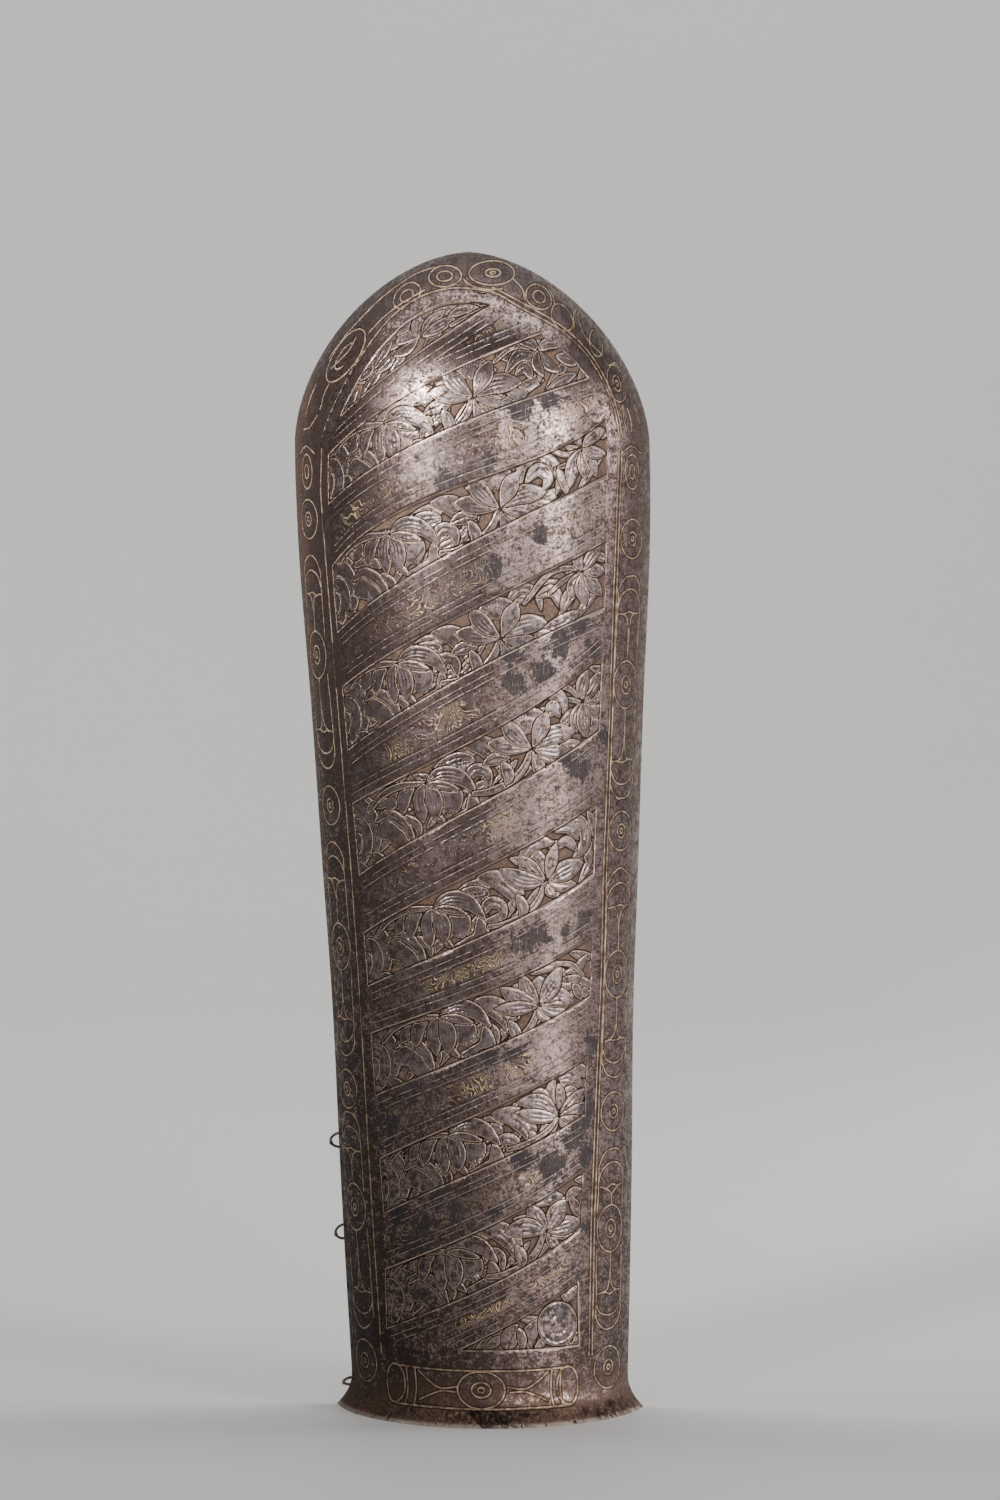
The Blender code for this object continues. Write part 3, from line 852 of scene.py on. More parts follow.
# everything that has a left and a right side is kept under -1 and 1
sideBorder = {
    # height of the foot and head of each cartouche, of its roundel, and of the free roundel above
    "cartouches": {
        -1: ((25.0, 88.5, 60.5, 95.2), (105.0, 168.0, 137.2, 178.6), (189.5, 251.5, 222.6, 262.2)),
        1: ((25.2, 78.6, 55.0, 89.4), (99.4, 160.6, 129.6, 171.6), (181.0, 246.0, 214.2, 256.6)),
    },
    # heights, and across of the border's middle at each
    "middles": {
        -1: (
            (0, 15.6, 30, 60.5, 95, 137, 178.5, 222.5, 262, 290),
            (-42.4, -42.9, -43.4, -46, -48.6, -49.8, -52.3, -57, -58.5, -58.8),
        ),
        1: (
            (0, 14, 55, 89.5, 129.5, 171.5, 214, 256.5, 290),
            (42.5, 42.8, 44.6, 46.8, 49.4, 51.6, 54.4, 58, 58.4),
        ),
    },
    "frameLines": {-1: (0.8,), 1: (0.8, 2.2)},    # distances outside the field's frame
    "lineWidth": 0.26,
    "lowest": {-1: 15.2, 1: 14.0},     # height of the roundel under the cartouches
    "crest": 276.0,                    # height of the bud over them
    # half width, half width of the inner ring, half height
    "lowRoundel": (6.6, 2.3, 6.2),
    "freeRoundel": (6.3, 2.2, 5.7),
    "waistRoundel": (6.5, 2.5, 6.9),
    "straight": (4.5, 5.4, 5.0),       # from the foot, waist and head to a cartouche's straight sides
    "budFoot": 11.0,
    "waistGap": 6.8,
    "wobble": 0.12,                    # how far a hand strays from the drawing
    "seed": 11,
    # the lines at both ends of a cartouche, by across and distance from the end
    "ends": (
        ((-6.5, 4.6), (-4.8, 1.9), (-2.4, 0.4), (0, 0), (2.4, 0.4), (4.8, 1.9), (6.5, 4.6)),
        ((-6.5, 8.6), (-4.4, 5.6), (0, 4.2), (4.4, 5.6), (6.5, 8.6)),
        ((-5.6, 11), (-2.8, 11.2), (0, 10.6), (2.8, 11.2), (5.6, 11)),
    ),
}


def borderMiddle(side, height):
    return float(np.interp(height, *sideBorder["middles"][side]))


def roundel(relief, centre, across, inner, tall):
    for scale in (1.0, inner / across, 0.35 * inner / across):
        relief.trace(ringPath(centre, across * scale, tall * scale))


def cartouche(relief, side, foot, head, waist, wobble):
    # a long frame with a roundel at its waist and a double arch and a stemmed bud at each end
    look = sideBorder
    half, stray, budFoot = look["waistRoundel"][0], look["wobble"], look["budFoot"]
    atFoot, atWaist, atHead = look["straight"]

    def draw(points):
        path = []
        for across, height in points:
            middle = borderMiddle(side, height) + side * across
            path.append((middle + wobble.normal(0, stray), height + wobble.normal(0, stray)))
        relief.trace(path)

    for across in (-half, half):
        for low, high in ((foot + atFoot, waist - atWaist), (waist + atWaist, head - atHead)):
            draw((across, low + (high - low) * step / 5) for step in range(6))
    for end, sense in ((foot, 1), (head, -1)):
        reach = abs(waist - end) - look["waistGap"] - budFoot
        neck = (0, budFoot + reach * 0.5)
        buds = ((-3.6, 11.2), (-1.2, 12.6), neck, (0, 10.7 + reach)), ((3.6, 11.2), (1.2, 12.6), neck)
        for line in (*look["ends"], *buds):
            draw((across, end + sense * distance) for across, distance in line)
    roundel(relief, (borderMiddle(side, waist), waist), *look["waistRoundel"])


def carveSideBorder(relief, side):
    look = sideBorder
    relief.smooth()
    wobble = np.random.default_rng(look["seed"] + side)
    levels = np.arange(panels["foot"] + 12.0, panels["head"], 6.0)
    for away in look["frameLines"][side]:
        path = np.stack((edgeAt(frameLines, side, levels) + side * away, levels), -1)
        relief.trace(path, look["lineWidth"])
    foot, crest = look["lowest"][side], look["crest"]
    roundel(relief, (borderMiddle(side, foot), foot), *look["lowRoundel"])
    middle = borderMiddle(side, crest + 0.5)
    relief.trace(ringPath((middle, crest), 3.9, 5.0))
    relief.trace(ringPath((middle, crest), 1.5, 2.0))
    relief.trace([(middle + side * run, crest + rise) for run, rise in ((-5.6, 5.4), (0, 7.4), (5.6, 5.4))])
    for low, high, waist, free in look["cartouches"][side]:
        cartouche(relief, side, low, high, waist, wobble)
        roundel(relief, (borderMiddle(side, free), free), *look["freeRoundel"])


def makeSideBorder(name, side, steel):
    # a flush band of inlaid cartouches, from the lip to the arch
    length = panels["head"] - panels["foot"]
    columns = spread(length, 0.0, panels["borderStep"])
    rows = spread(panels["borderSpan"], 0.0, panels["borderStep"])

    def place(u, v):
        # the right border runs from its head down, so that its faces look outwards too
        height = panels["foot"] + (u if side < 0 else length - u)
        inner = edgeAt(frameLines, side, height)
        outer = side * (halfArc(height) - panels["rimGap"])
        return inner + (outer - inner) * v / panels["borderSpan"], height

    def carve(relief):
        carveSideBorder(relief, side)

    return makePanel(name, columns, rows, place, carve, cutting["borderFlush"], steel)


archLines = (
    (
        (-50, 309), (-43, 315.3), (-36.5, 320.5), (-30, 325.5), (-25, 328.8), (-20, 331.8), (-15, 334),
        (-10, 335.4),
    ),
    ((28, 330.4), (33, 328.2), (38, 326), (43, 323.4), (49, 319.4), (54.5, 314), (59, 308.4)),
    ((42.8, 323.2), (39.6, 320.6), (40.4, 316.4), (42.4, 313.8), (48.6, 309.4)),
    ((50.6, 294.2), (51.2, 289)),
    ((55, 295.4), (54.6, 291.4), (55.6, 287.6)),
    ((57.4, 294.4), (58.6, 290.8), (58.2, 287.6)),
    ((62.6, 296), (64.4, 290)),
    ((-61, 288.2), (-56, 289), (-51.6, 292.4)),
    ((-50.2, 294), (-48.6, 298.6), (-46.6, 301.4)),
    ((-60.6, 292), (-58.6, 297), (-55.6, 301.6)),
    ((-46.8, 305.8), (-43, 308), (-38.6, 311), (-36.2, 314.8)),
    ((-30.6, 316), (-25, 320.9), (-18.6, 325), (-12, 328.4)),
    ((14.8, 331.6), (17.6, 328.8), (18.4, 325.4)),
    ((27.6, 322.2), (29.6, 325.8), (28.2, 329.6)),
    ((36.4, 317.2), (37.6, 321.4), (41.2, 323.6)),
    ((48.8, 308.6), (50.4, 306.8), (55.2, 307.6), (57.6, 306.2)),
)
# centre, half axes, tilt, and for a part of a ring the degrees where it starts and ends
archRings = (
    ((-40.5, 309.6), 10.4, 5.4, 38),
    ((-18, 326.9), 4.9, 3.7, 25),
    ((-6.2, 332.6), 5.0, 3.2),
    ((8.0, 333.4), 9.0, 4.9, 0, 200, 290),
    ((23.6, 326.6), 4.9, 3.7, -14),
    ((32.0, 320.6), 4.6, 3.8, -30),
    ((-40.3, 309.4), 5.2, 2.4, 38, 20, 250),
    ((-18, 326.9), 2.3, 1.7, 25),
    ((-6.2, 332.6), 2.4, 1.5),
    ((23.6, 326.6), 2.3, 1.8, -14),
    ((46.4, 313.2), 3.4, 4.2, -38),
)


def archFrame():
    # the stations of the arch border, with those where it meets the side borders
    head = panels["head"]
    rim = float(halfArc(head) - panels["rimGap"])
    feet = [((float(edgeAt(frameLines, side, head)), head), (side * rim, head)) for side in (-1, 1)]
    return np.array([feet[0], *archStations, feet[1]])


def carveArch(relief):
    relief.smooth()
    frame = archFrame()
    reach = frame[:, 1] - frame[:, 0]
    reach = reach / np.linalg.norm(reach, axis=1)[:, None]
    inner, outer = sideBorder["frameLines"][1]
    relief.trace(frame[:, 0] + reach * inner, sideBorder["lineWidth"])
    relief.trace((frame[:, 0] + reach * outer)[9:], sideBorder["lineWidth"])
    for line in archLines:
        relief.trace(line)
    for ring in archRings:
        relief.trace(ringPath(*ring))
    roundel(relief, (8.0, 333.6), 7.0, 2.3, 3.7)
    roundel(relief, (53.6, 301.6), 5.2, 2.2, 5.4)


def makeArchBorder(steel):
    frame, span = archFrame(), panels["archSpan"]
    paths = [smoothPath(frame[:, edge], span) for edge in (0, 1)]
    columns = spread(float(span), 0.0, panels["archStep"])
    rows = spread(panels["borderSpan"], 0.0, panels["borderStep"])

    def place(u, v):
        along = np.clip(u / span, 0, 1) * (span - 1)
        inner, outer = (
            np.array([np.interp(along, np.arange(span), line) for line in path.T]) for path in paths
        )
        return inner + (outer - inner) * (v / panels["borderSpan"])

    return makePanel("archBorder", columns, rows, place, carveArch, cutting["borderFlush"], steel)


wristPanel = {
    "foot": 2.6,
    "head": 20.0,
    "lines": (
        ((-28, 16.2), (-14, 16), (0, 16), (14, 16), (27, 16.2)),
        ((-28, 5), (-14, 5), (0, 4.9), (14, 5), (26, 5)),
    ),
    # drawn on both sides of the middle
    "pairs": (
        ((19.5, 15.2), (16, 12.4), (12.5, 10.6), (7.4, 11.2)),
        ((19.2, 6.8), (15.4, 8.6), (12, 9.8), (8, 9.6)),
        ((20.8, 5.4), (20.4, 10.4), (20.8, 15.8)),
        ((23.8, 5.4), (23.4, 10.4), (23.8, 15.8)),
    ),
}


def carveWrist(relief):
    relief.smooth()
    for line in wristPanel["lines"]:
        relief.trace(line)
    for centre in (-28.0, 26.0):
        relief.trace(ringPath((centre, 10.8), 3.6, 5.6))
    roundel(relief, (-0.4, 10.4), 6.9, 2.8, 5.4)
    for side in (-1, 1):
        for line in wristPanel["pairs"]:
            relief.trace([(side * across, height) for across, height in line])


def makeWristPanel(steel):
    foot, head = wristPanel["foot"], wristPanel["head"]
    left, right = frameLines[-1][0], frameLines[1][0]
    columns = spread(right - left, 0.0, panels["bandStep"])
    rows = spread(head - foot, 0.0, panels["bandStep"])

    def place(u, v):
        return left + u, foot + v

    return makePanel("wristPanel", columns, rows, place, carveWrist, cutting["borderFlush"], steel)


def makePanels(steel):
    return [
        *(makeBand(name, steel) for name in carvedBands),
        makeSideBorder("leftBorder", -1, steel),
        makeSideBorder("rightBorder", 1, steel),
        makeArchBorder(steel),
        makeWristPanel(steel),
    ]


plateBody = {
    "columns": 108,                    # faces across the sheet and up it
    "gutterRows": 234,
    "domeRows": 60,
    "lipRows": (0.0, 0.0005, 0.0011, 0.0018, 0.0026, 0.0035, 0.0045, 0.0056, 0.0068, 0.0081),
    "edgeRounding": 0.00025,
    "roundedFrom": 50.0,               # degrees between faces from which an edge is rounded
    "crisp": 20.0,
    "weld": 2e-5,
    "holeCount": 11,
    "firstHole": 0.0083,
    "holePitch": 0.0091,
    "holeRadius": 0.0010,
    "holeEdgeDistance": 0.0030,
    # degrees round from the ridge, width, height
    "lipNicks": (
        (-38.0, 0.0007, 0.0024), (-17.0, 0.0010, 0.0010), (14.0, 0.0008, 0.0011), (35.0, 0.0012, 0.0009),
    ),
}


def bodyRows():
    shape, body = plateShape, plateBody
    gutter = np.linspace(shape["lipHeight"], shape["shoulder"], body["gutterRows"])
    climb = np.sin(np.linspace(0, math.pi / 2, body["domeRows"] + 1)[1:])
    climb = climb ** shape["domeHeightRoundness"]
    dome = shape["shoulder"] + (shape["height"] - shape["shoulder"]) * climb
    return np.concatenate((body["lipRows"], gutter, dome))


def insideOutline(across, height, outline):
    # an odd number of crossings of the outline beside a point puts it inside
    inside = np.zeros(across.shape, bool)
    low, high = outline.min(0), outline.max(0)
    beside = (across > low[0]) & (across < high[0])
    near = np.flatnonzero(beside & (height > low[1]) & (height < high[1]))
    x, z = across[near], height[near]
    crossed = np.zeros(len(near), bool)
    for (startX, startZ), (endX, endZ) in zip(outline, np.roll(outline, -1, axis=0)):
        if startZ == endZ:
            continue
        spans = (startZ > z) != (endZ > z)
        crossed ^= spans & (x < (endX - startX) * (z - startZ) / (endZ - startZ) + startX)
    inside[near] = crossed
    return inside


def sinkUnderPanels(shell, outerFaces, covered):
    # lowers the plate's outside where a carved panel lies over it
    sunk = [face for face in outerFaces if all(covered[vertex.index] for vertex in face.verts)]
    grown = bmesh.ops.extrude_face_region(shell, geom=sunk)
    fresh = [item for item in grown["geom"] if isinstance(item, bmesh.types.BMVert)]
    spots = np.array([vertex.co for vertex in fresh])
    across, height = developed(spots)
    lowered = spots - plateNormal(across, height) * cutting["bed"]
    for vertex, spot in zip(fresh, lowered):
        vertex.co = spot
    bmesh.ops.delete(shell, geom=[face for face in sunk if face.is_valid], context="FACES_ONLY")


def bodyMesh(outlines):
    # an outer and an inner sheet, bridged round the rim and the foot
    rows = bodyRows()
    columns = plateBody["columns"]
    shell = bmesh.new()
    for _ in range(2):
        bmesh.ops.create_grid(shell, x_segments=columns, y_segments=len(rows) - 1, size=1.0)
    sheetSize = (columns + 1) * len(rows)
    shell.verts.ensure_lookup_table()
    spots = np.array([vertex.co for vertex in shell.verts])[:sheetSize]
    height = rows[np.rint((spots[:, 1] + 1) / 2 * (len(rows) - 1)).astype(int)]
    radius, halfAngle, _ = levelSection(np.minimum(height, plateShape["height"] - 1e-5))
    across = spots[:, 0] * radius * halfAngle
    outside = rawSpot(across, height)
    inside = outside - plateNormal(across, height) * plateShape["thickness"]
    inside[:, 1] = np.minimum(inside[:, 1], plateOrigin.y)
    inside[:, 2] = np.maximum(inside[:, 2], plateOrigin.z)
    for vertex, spot in zip(shell.verts, np.concatenate((outside, inside))):
        vertex.co = spot
    shell.faces.ensure_lookup_table()
    shell.verts.index_update()
    faceCount = len(shell.faces) // 2
    outerFaces, innerFaces = shell.faces[:faceCount], shell.faces[faceCount:]
    bmesh.ops.reverse_faces(shell, faces=innerFaces)
    for face in innerFaces:
        face.material_index = 1
    bmesh.ops.bridge_loops(shell, edges=[edge for edge in shell.edges if edge.is_boundary])
    covered = np.zeros(len(shell.verts), bool)
    for outline in outlines:
        covered[:sheetSize] |= insideOutline(across * 1000, height * 1000, outline[::4])
    sinkUnderPanels(shell, outerFaces, covered)
    bmesh.ops.remove_doubles(shell, verts=shell.verts, dist=plateBody["weld"])
    limit = math.radians(plateBody["roundedFrom"])
    sharp = [edge for edge in shell.edges if edge.is_manifold and edge.calc_face_angle() > limit]
    bmesh.ops.bevel(
        shell, geom=sharp, offset=plateBody["edgeRounding"], offset_type="OFFSET", segments=2,
        profile=0.5, affect="EDGES", material=-1, clamp_overlap=True,
    )
    bmesh.ops.recalc_face_normals(shell, faces=shell.faces)
    mesh = bpy.data.meshes.new("plateBody")
    shell.to_mesh(mesh)
    shell.free()
    return mesh


def holeFrame(index):
    # middle of a mail hole in the wall, and the turn of the level normal there
    height = plateBody["firstHole"] + plateBody["holePitch"] * index
    radius, halfAngle, _ = (float(value) for value in levelSection(np.float64(height)))
    across = plateBody["holeEdgeDistance"] - radius * halfAngle
    spot = plateSpot(np.float64(across), np.float64(height), -plateShape["thickness"] / 2)
    return Vector(spot), across / radius


def levelOutward(turn):
    return Vector((math.sin(turn), -math.cos(turn), 0.0))


def cutterMesh():
    # the mail holes and the nicks of the lip
    cutters = bmesh.new()
    holeRadius = plateBody["holeRadius"]
    for index in range(plateBody["holeCount"]):
        middle, turn = holeFrame(index)
        aim = levelOutward(turn).to_track_quat("Z", "Y").to_matrix().to_4x4()
        bmesh.ops.create_cone(
            cutters, cap_ends=True, segments=20, radius1=holeRadius, radius2=holeRadius,
            depth=6 * plateShape["thickness"], matrix=Matrix.Translation(middle) @ aim,
        )
    radius = float(levelSection(np.float64(0.0))[0])
    for degrees, width, height in plateBody["lipNicks"]:
        turn = math.radians(degrees)
        foot = Vector(rawSpot(np.float64(radius * turn), np.float64(0.0)))
        size = Matrix.Diagonal((width, 4 * plateShape["thickness"], 2 * height, 1.0))
        bmesh.ops.create_cube(
            cutters, size=1.0, matrix=Matrix.Translation(foot) @ Matrix.Rotation(turn, 4, "Z") @ size,
        )
    mesh = bpy.data.meshes.new("plateCutters")
    cutters.to_mesh(mesh)
    cutters.free()
    return mesh


def cutHoles(piece):
    cutters = bpy.data.objects.new("plateCutters", cutterMesh())
    bpy.context.scene.collection.objects.link(cutters)
    cut = piece.modifiers.new("holes", "BOOLEAN")
    cut.operation = "DIFFERENCE"
    cut.solver = "EXACT"
    cut.object = cutters
    shown = bpy.context.evaluated_depsgraph_get()
    finished = bpy.data.meshes.new_from_object(piece.evaluated_get(shown), depsgraph=shown)
    piece.modifiers.clear()
    piece.data = finished
    bpy.data.objects.remove(cutters, do_unlink=True)


def makePlateBody(outlines, steel, inner):
    piece = newPiece("plateBody", bodyMesh(outlines), (steel, inner))
    cutHoles(piece)
    mesh = piece.data
    mesh.shade_smooth()
    mesh.set_sharp_from_angle(angle=math.radians(plateBody["crisp"]))
    across, height = developed(vertexArray(mesh))
    pointLayer(mesh, "leafEdge", np.full(len(across), cutting["noLeaf"]))
    pointLayer(mesh, "inlayGap", np.full(len(across), cutting["noLine"]))
    surfaceLayers(mesh, across * 1000, height * 1000)
    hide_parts("arm_plate")
    print("plate body:", len(mesh.polygons), "faces")


mailRing = {
    "radius": 0.0031,                  # to the middle of the wire
    "wire": 0.0004,
    "rivetTurn": 25.0,
    "rivetRadius": 0.00060,
    "rivetStretch": 1.15,
    "lapWidth": 0.26,                  # radians either side of the rivet
    "lapThinner": 0.12,
    "lapTaller": 0.35,
    "outOfRound": 0.00004,
    # CAD node: hole counted from the lip, degrees that the ring leans back
    "hung": {"mail_ring_low": (0, 58.0), "mail_ring_middle": (5, 38.0), "mail_ring_high": (8, 38.0)},
}


def makeMailRing(nodeName, index, lean, iron):
    look, radius, rivet = mailRing, mailRing["radius"], math.radians(mailRing["rivetTurn"])
    ring = bmesh.new()
    section = Matrix.Translation((radius, 0, 0)) @ Matrix.Rotation(math.pi / 2, 4, "X")
    bmesh.ops.create_circle(ring, segments=16, radius=look["wire"], matrix=section)
    bmesh.ops.spin(
        ring, geom=ring.verts[:] + ring.edges[:], cent=(0, 0, 0), axis=(0, 0, 1), angle=2 * math.pi,
        steps=96, use_merge=True,
    )
    # the wire's ends lap under the rivet, and hand-drawn wire is never quite round
    for vertex in ring.verts:
        turn = math.atan2(vertex.co.y, vertex.co.x)
        lap = math.exp(-(((turn - rivet) / look["lapWidth"]) ** 2))
        reach = math.hypot(vertex.co.x, vertex.co.y)
        drawn = radius + (reach - radius) * (1 - look["lapThinner"] * lap)
        drawn += look["outOfRound"] * math.sin(3 * turn + index)
        tall = vertex.co.z * (1 + look["lapTaller"] * lap)
        vertex.co = (drawn * math.cos(turn), drawn * math.sin(turn), tall)
    head = Matrix.Translation((radius * math.cos(rivet), radius * math.sin(rivet), 0))
    head = head @ Matrix.Diagonal((1, 1, look["rivetStretch"], 1))
    bmesh.ops.create_uvsphere(
        ring, u_segments=20, v_segments=12, radius=look["rivetRadius"], matrix=head,
    )
    bmesh.ops.recalc_face_normals(ring, faces=ring.faces[:])
    middle, turn = holeFrame(index)
    normal = levelOutward(turn)
    lean = math.radians(lean)
    up = Vector((0, 0, 1))
    drop = normal.cross(up) * math.sin(lean) - up * math.cos(lean)
    turned = Matrix((normal, drop, normal.cross(drop))).transposed().to_4x4()
    place = Matrix.Translation(middle + drop * radius) @ turned
    bmesh.ops.transform(ring, matrix=place, verts=ring.verts[:])
    mesh = bpy.data.meshes.new(nodeName)
    ring.to_mesh(mesh)
    ring.free()
    mesh.shade_smooth()
    piece = newPiece("riveted" + nodeName.title().replace("_", ""), mesh, (iron,))
    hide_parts(nodeName)


def makeMailRings(iron):
    for nodeName, (index, lean) in mailRing["hung"].items():
        makeMailRing(nodeName, index, lean, iron)
    print("mail rings:", len(mailRing["hung"]))


class Signal:
    # a shader value: an expression on it adds its Math nodes
    def __init__(self, finish, socket):
        self.finish, self.socket = finish, socket

    def math(self, operation, *values):
        return self.finish.node("ShaderNodeMath", {"operation": operation}, dict(enumerate(values)))

    def __add__(self, other):
        return self.math("ADD", self, other)

    def __sub__(self, other):
        return self.math("SUBTRACT", self, other)

    def __rsub__(self, other):
        return self.math("SUBTRACT", other, self)

    def __mul__(self, other):
        return self.math("MULTIPLY", self, other)

    def __abs__(self):
        return self.math("ABSOLUTE", self)

    __radd__, __rmul__ = __add__, __mul__

    def most(self, other):
        return self.math("MAXIMUM", self, other)

    def cycle(self):
        return self.math("FRACT", self)

    def between(self, low, high):
        # smooth step from 0 at low to 1 at high
        if low > high:
            return 1 - self.between(high, low)
        settings = {"interpolation_type": "SMOOTHSTEP"}
        sockets = {"Value": self, "From Min": low, "From Max": high}
        return self.finish.node("ShaderNodeMapRange", settings, sockets)

    def near(self, place, core, edge):
        # 1 within core of a place, falling to 0 at edge
        return 1 - abs(self - place).between(core, edge)


class Finish:
    # a material, made node by node, and the colour that its layers are painted over
    def __init__(self, name):
        self.material = bpy.data.materials.new(name)
        self.material.use_nodes = True
        self.tree = self.material.node_tree
        self.shader = self.tree.nodes["Principled BSDF"]
        self.colour = None

    def node(self, kind, settings=None, sockets=None, output=0):
        made = self.tree.nodes.new(kind)
        for setting, value in (settings or {}).items():
            setattr(made, setting, value)
        for key, value in (sockets or {}).items():
            if isinstance(value, Signal):
                self.tree.links.new(value.socket, made.inputs[key])
            else:
                made.inputs[key].default_value = value
        return Signal(self, made.outputs[output])

    def surface(self, stretch=(1.0, 1.0, 1.0)):
        # across and height in tenths of a metre
        spot = self.node("ShaderNodeUVMap", {"uv_map": "surfaceMap"})
        return self.node("ShaderNodeMapping", None, {"Vector": spot, "Scale": stretch})

    def solid(self, stretch=(1.0, 1.0, 1.0)):
        spot = self.node("ShaderNodeTexCoord", output=3)
        return self.node("ShaderNodeMapping", None, {"Vector": spot, "Scale": stretch})

    def layer(self, name):
        return self.node("ShaderNodeAttribute", {"attribute_name": name}, output=2)

    def noise(self, spot, scale, detail=3.0, roughness=0.55, distortion=0.0):
        sockets = {"Vector": spot, "Scale": scale, "Detail": detail, "Roughness": roughness}
        return self.node("ShaderNodeTexNoise", None, {**sockets, "Distortion": distortion})

    def mixed(self, share, first, second):
        first, second = ((*tone, 1.0) if isinstance(tone, tuple) else tone for tone in (first, second))
        settings = {"data_type": "RGBA", "clamp_factor": True}
        return self.node("ShaderNodeMix", settings, {0: share, 6: first, 7: second}, output=2)

    def paint(self, share, tone):
        self.colour = self.mixed(share, self.colour, tone)

    def bump(self, height, distance, strength=1.0, normal=None):
        sockets = {"Height": height, "Distance": distance, "Strength": strength}
        if normal is not None:
            sockets["Normal"] = normal
        return self.node("ShaderNodeBump", None, sockets)

    def feed(self, **sockets):
        for name, value in sockets.items():
            socket = self.shader.inputs[name.replace("_", " ")]
            if isinstance(value, Signal):
                self.tree.links.new(value.socket, socket)
            else:
                socket.default_value = (*value, 1.0) if isinstance(value, tuple) else value
        return self.material


steelFinish = {
    "bare": (0.285, 0.212, 0.200),
    # the dulled and brown film tones also stand in for painted shade on the plate's left side
    "dulled": (0.060, 0.036, 0.030),
    "brownFilmAndShade": (0.022, 0.0118, 0.0085),
    "leafSilver": (0.29, 0.240, 0.238),
    "rubbed": (0.42, 0.36, 0.34),
    "stain": (0.024, 0.018, 0.020),
    "groundRust": (0.168, 0.100, 0.067),
    "groundDark": (0.044, 0.029, 0.022),
    "outline": (0.018, 0.010, 0.008),
    # pale worn edges, partly standing in for painted highlights
    "paleWearAndHighlight": (0.50, 0.41, 0.34),
    # tan of worn rims, partly a painted highlight
    "tanRimAndHighlight": (0.46, 0.345, 0.265),
    "edgeRust": (0.070, 0.041, 0.030),
    "rustBloom": (0.20, 0.118, 0.078),
    "brassLine": (0.47, 0.355, 0.255),
    "brassDull": (0.20, 0.125, 0.075),
    "goldTrace": (0.56, 0.42, 0.22),
    "lineGaps": (2.5, 4.3),            # millimetres from a carved band to the lines beside it
    "lineShadow": 0.42,                # and on from each line to its dark side
    "baseRoughness": 0.24,
    "grainDepth": 0.00004,
    "lineDepth": 0.00012,
}


def steelFields(finish):
    # the patterns, and the masks written on the meshes, that the layers of the steel share
    spot = finish.surface()
    across, height = (finish.node("ShaderNodeSeparateXYZ", None, {0: spot}, axis) for axis in (0, 1))
    return SimpleNamespace(
        spot=spot,
        across=across,
        height=height,
        cloud=finish.noise(spot, 7.0, 4.0, 0.6),
        mottle=finish.noise(spot, 38.0, 5.0, 0.65),
        speck=finish.noise(spot, 115.0, 5.0, 0.72),
        grain=finish.noise(spot, 420.0, 2.0, 0.6),
        brushed=finish.noise(finish.surface((9.0, 0.45, 1.0)), 42.0, 3.0, 0.7),
        ground=finish.layer("ground"),
        inlay=finish.layer("inlayGap"),
        edge=finish.layer("leafEdge"),
        gap=finish.layer("bandGap"),
        inset=finish.layer("fieldInset"),
        tarnish=finish.layer("tarnish"),
        gilt=finish.layer("gilt"),
    )


def paintPatina(finish, at):
    # the far side from the ridge, to the viewer's left, and the borders keep more of the brown film; on the
    # left, that extra film and dulling is partly painted shade of the side turned from the light
    look = steelFinish
    at.leftward = at.across.between(0.16, -0.62)
    rightward = at.across.between(0.36, 0.52)
    border = at.inset.between(0.4, -0.6)
    filmed = at.leftward * (0.28 + border * 0.16) + rightward * 0.04 + border * 0.02 + at.cloud * 0.9 - 0.36
    # the steel is also painted darker towards the bottom
    filmed = filmed + at.height.between(1.1, 0.15) * 0.18
    dull = filmed * 0.6 + at.mottle * 1.2 + at.speck * 2.0 + at.grain * 0.4 - 1.56
    film = filmed * 0.8 + at.mottle * 1.1 + at.speck * 2.0 + at.grain * 0.6 - 2.02
    at.dull, at.film = dull.between(0.02, 0.52), film.between(0.02, 0.30)
    finish.colour = finish.mixed(at.dull, look["bare"], look["dulled"])
    finish.paint(at.film * 0.88, look["brownFilmAndShade"])


def paintStains(finish, at):
    blot = finish.noise(at.spot, 22.0, 6.0, 0.66, 0.5)
    stained = at.tarnish * 0.36 + blot + at.speck * 0.6 + at.mottle * 0.4 + at.grain * 0.2
    at.stained = stained.between(1.16, 1.27)
    finish.paint(at.stained * 0.9, steelFinish["stain"])


def paintRubbedSteel(finish, at):
    # brighter steel on the leaves and where a hand has rubbed along the plate
    carved = (1 - at.gap.between(-0.2, 0.1)) * at.inset.between(-0.1, 0.2)
    leaf = at.edge.between(0.15, 0.6) * carved
    finish.paint(leaf * (1 - at.film) * at.mottle.between(0.66, 0.40) * 0.36, steelFinish["leafSilver"])
    at.rubbed = (at.brushed * 0.8 + at.speck * 0.6).between(0.74, 0.92) * (1 - at.film) * 0.6
    finish.paint(at.rubbed, steelFinish["rubbed"])


def paintBandLines(finish, at):
    # fine double lines beside each carved band, worn through in places; the pale cuts are partly painted
    # highlight, with a painted shadow beside each line
    worn = (finish.noise(at.spot, 30.0, 3.0, 0.6) + at.speck * 0.4).between(0.60, 0.76)
    inner, outer = steelFinish["lineGaps"]
    aside = steelFinish["lineShadow"]
    cuts = at.gap.near(inner, 0.03, 0.19).most(at.gap.near(outer, 0.03, 0.19))
    shadow = at.gap.near(inner + aside, 0.08, 0.26).most(at.gap.near(outer + aside, 0.08, 0.26))
    at.cuts = cuts * at.inset.between(1.0, 1.8) * worn
    # painted shadow on one side of each line
    finish.paint(shadow * at.inset.between(1.0, 1.8) * worn * 0.55, steelFinish["outline"])
    # pale cut lines: worn steel, partly a painted highlight
    finish.paint(at.cuts * 0.7, steelFinish["paleWearAndHighlight"])


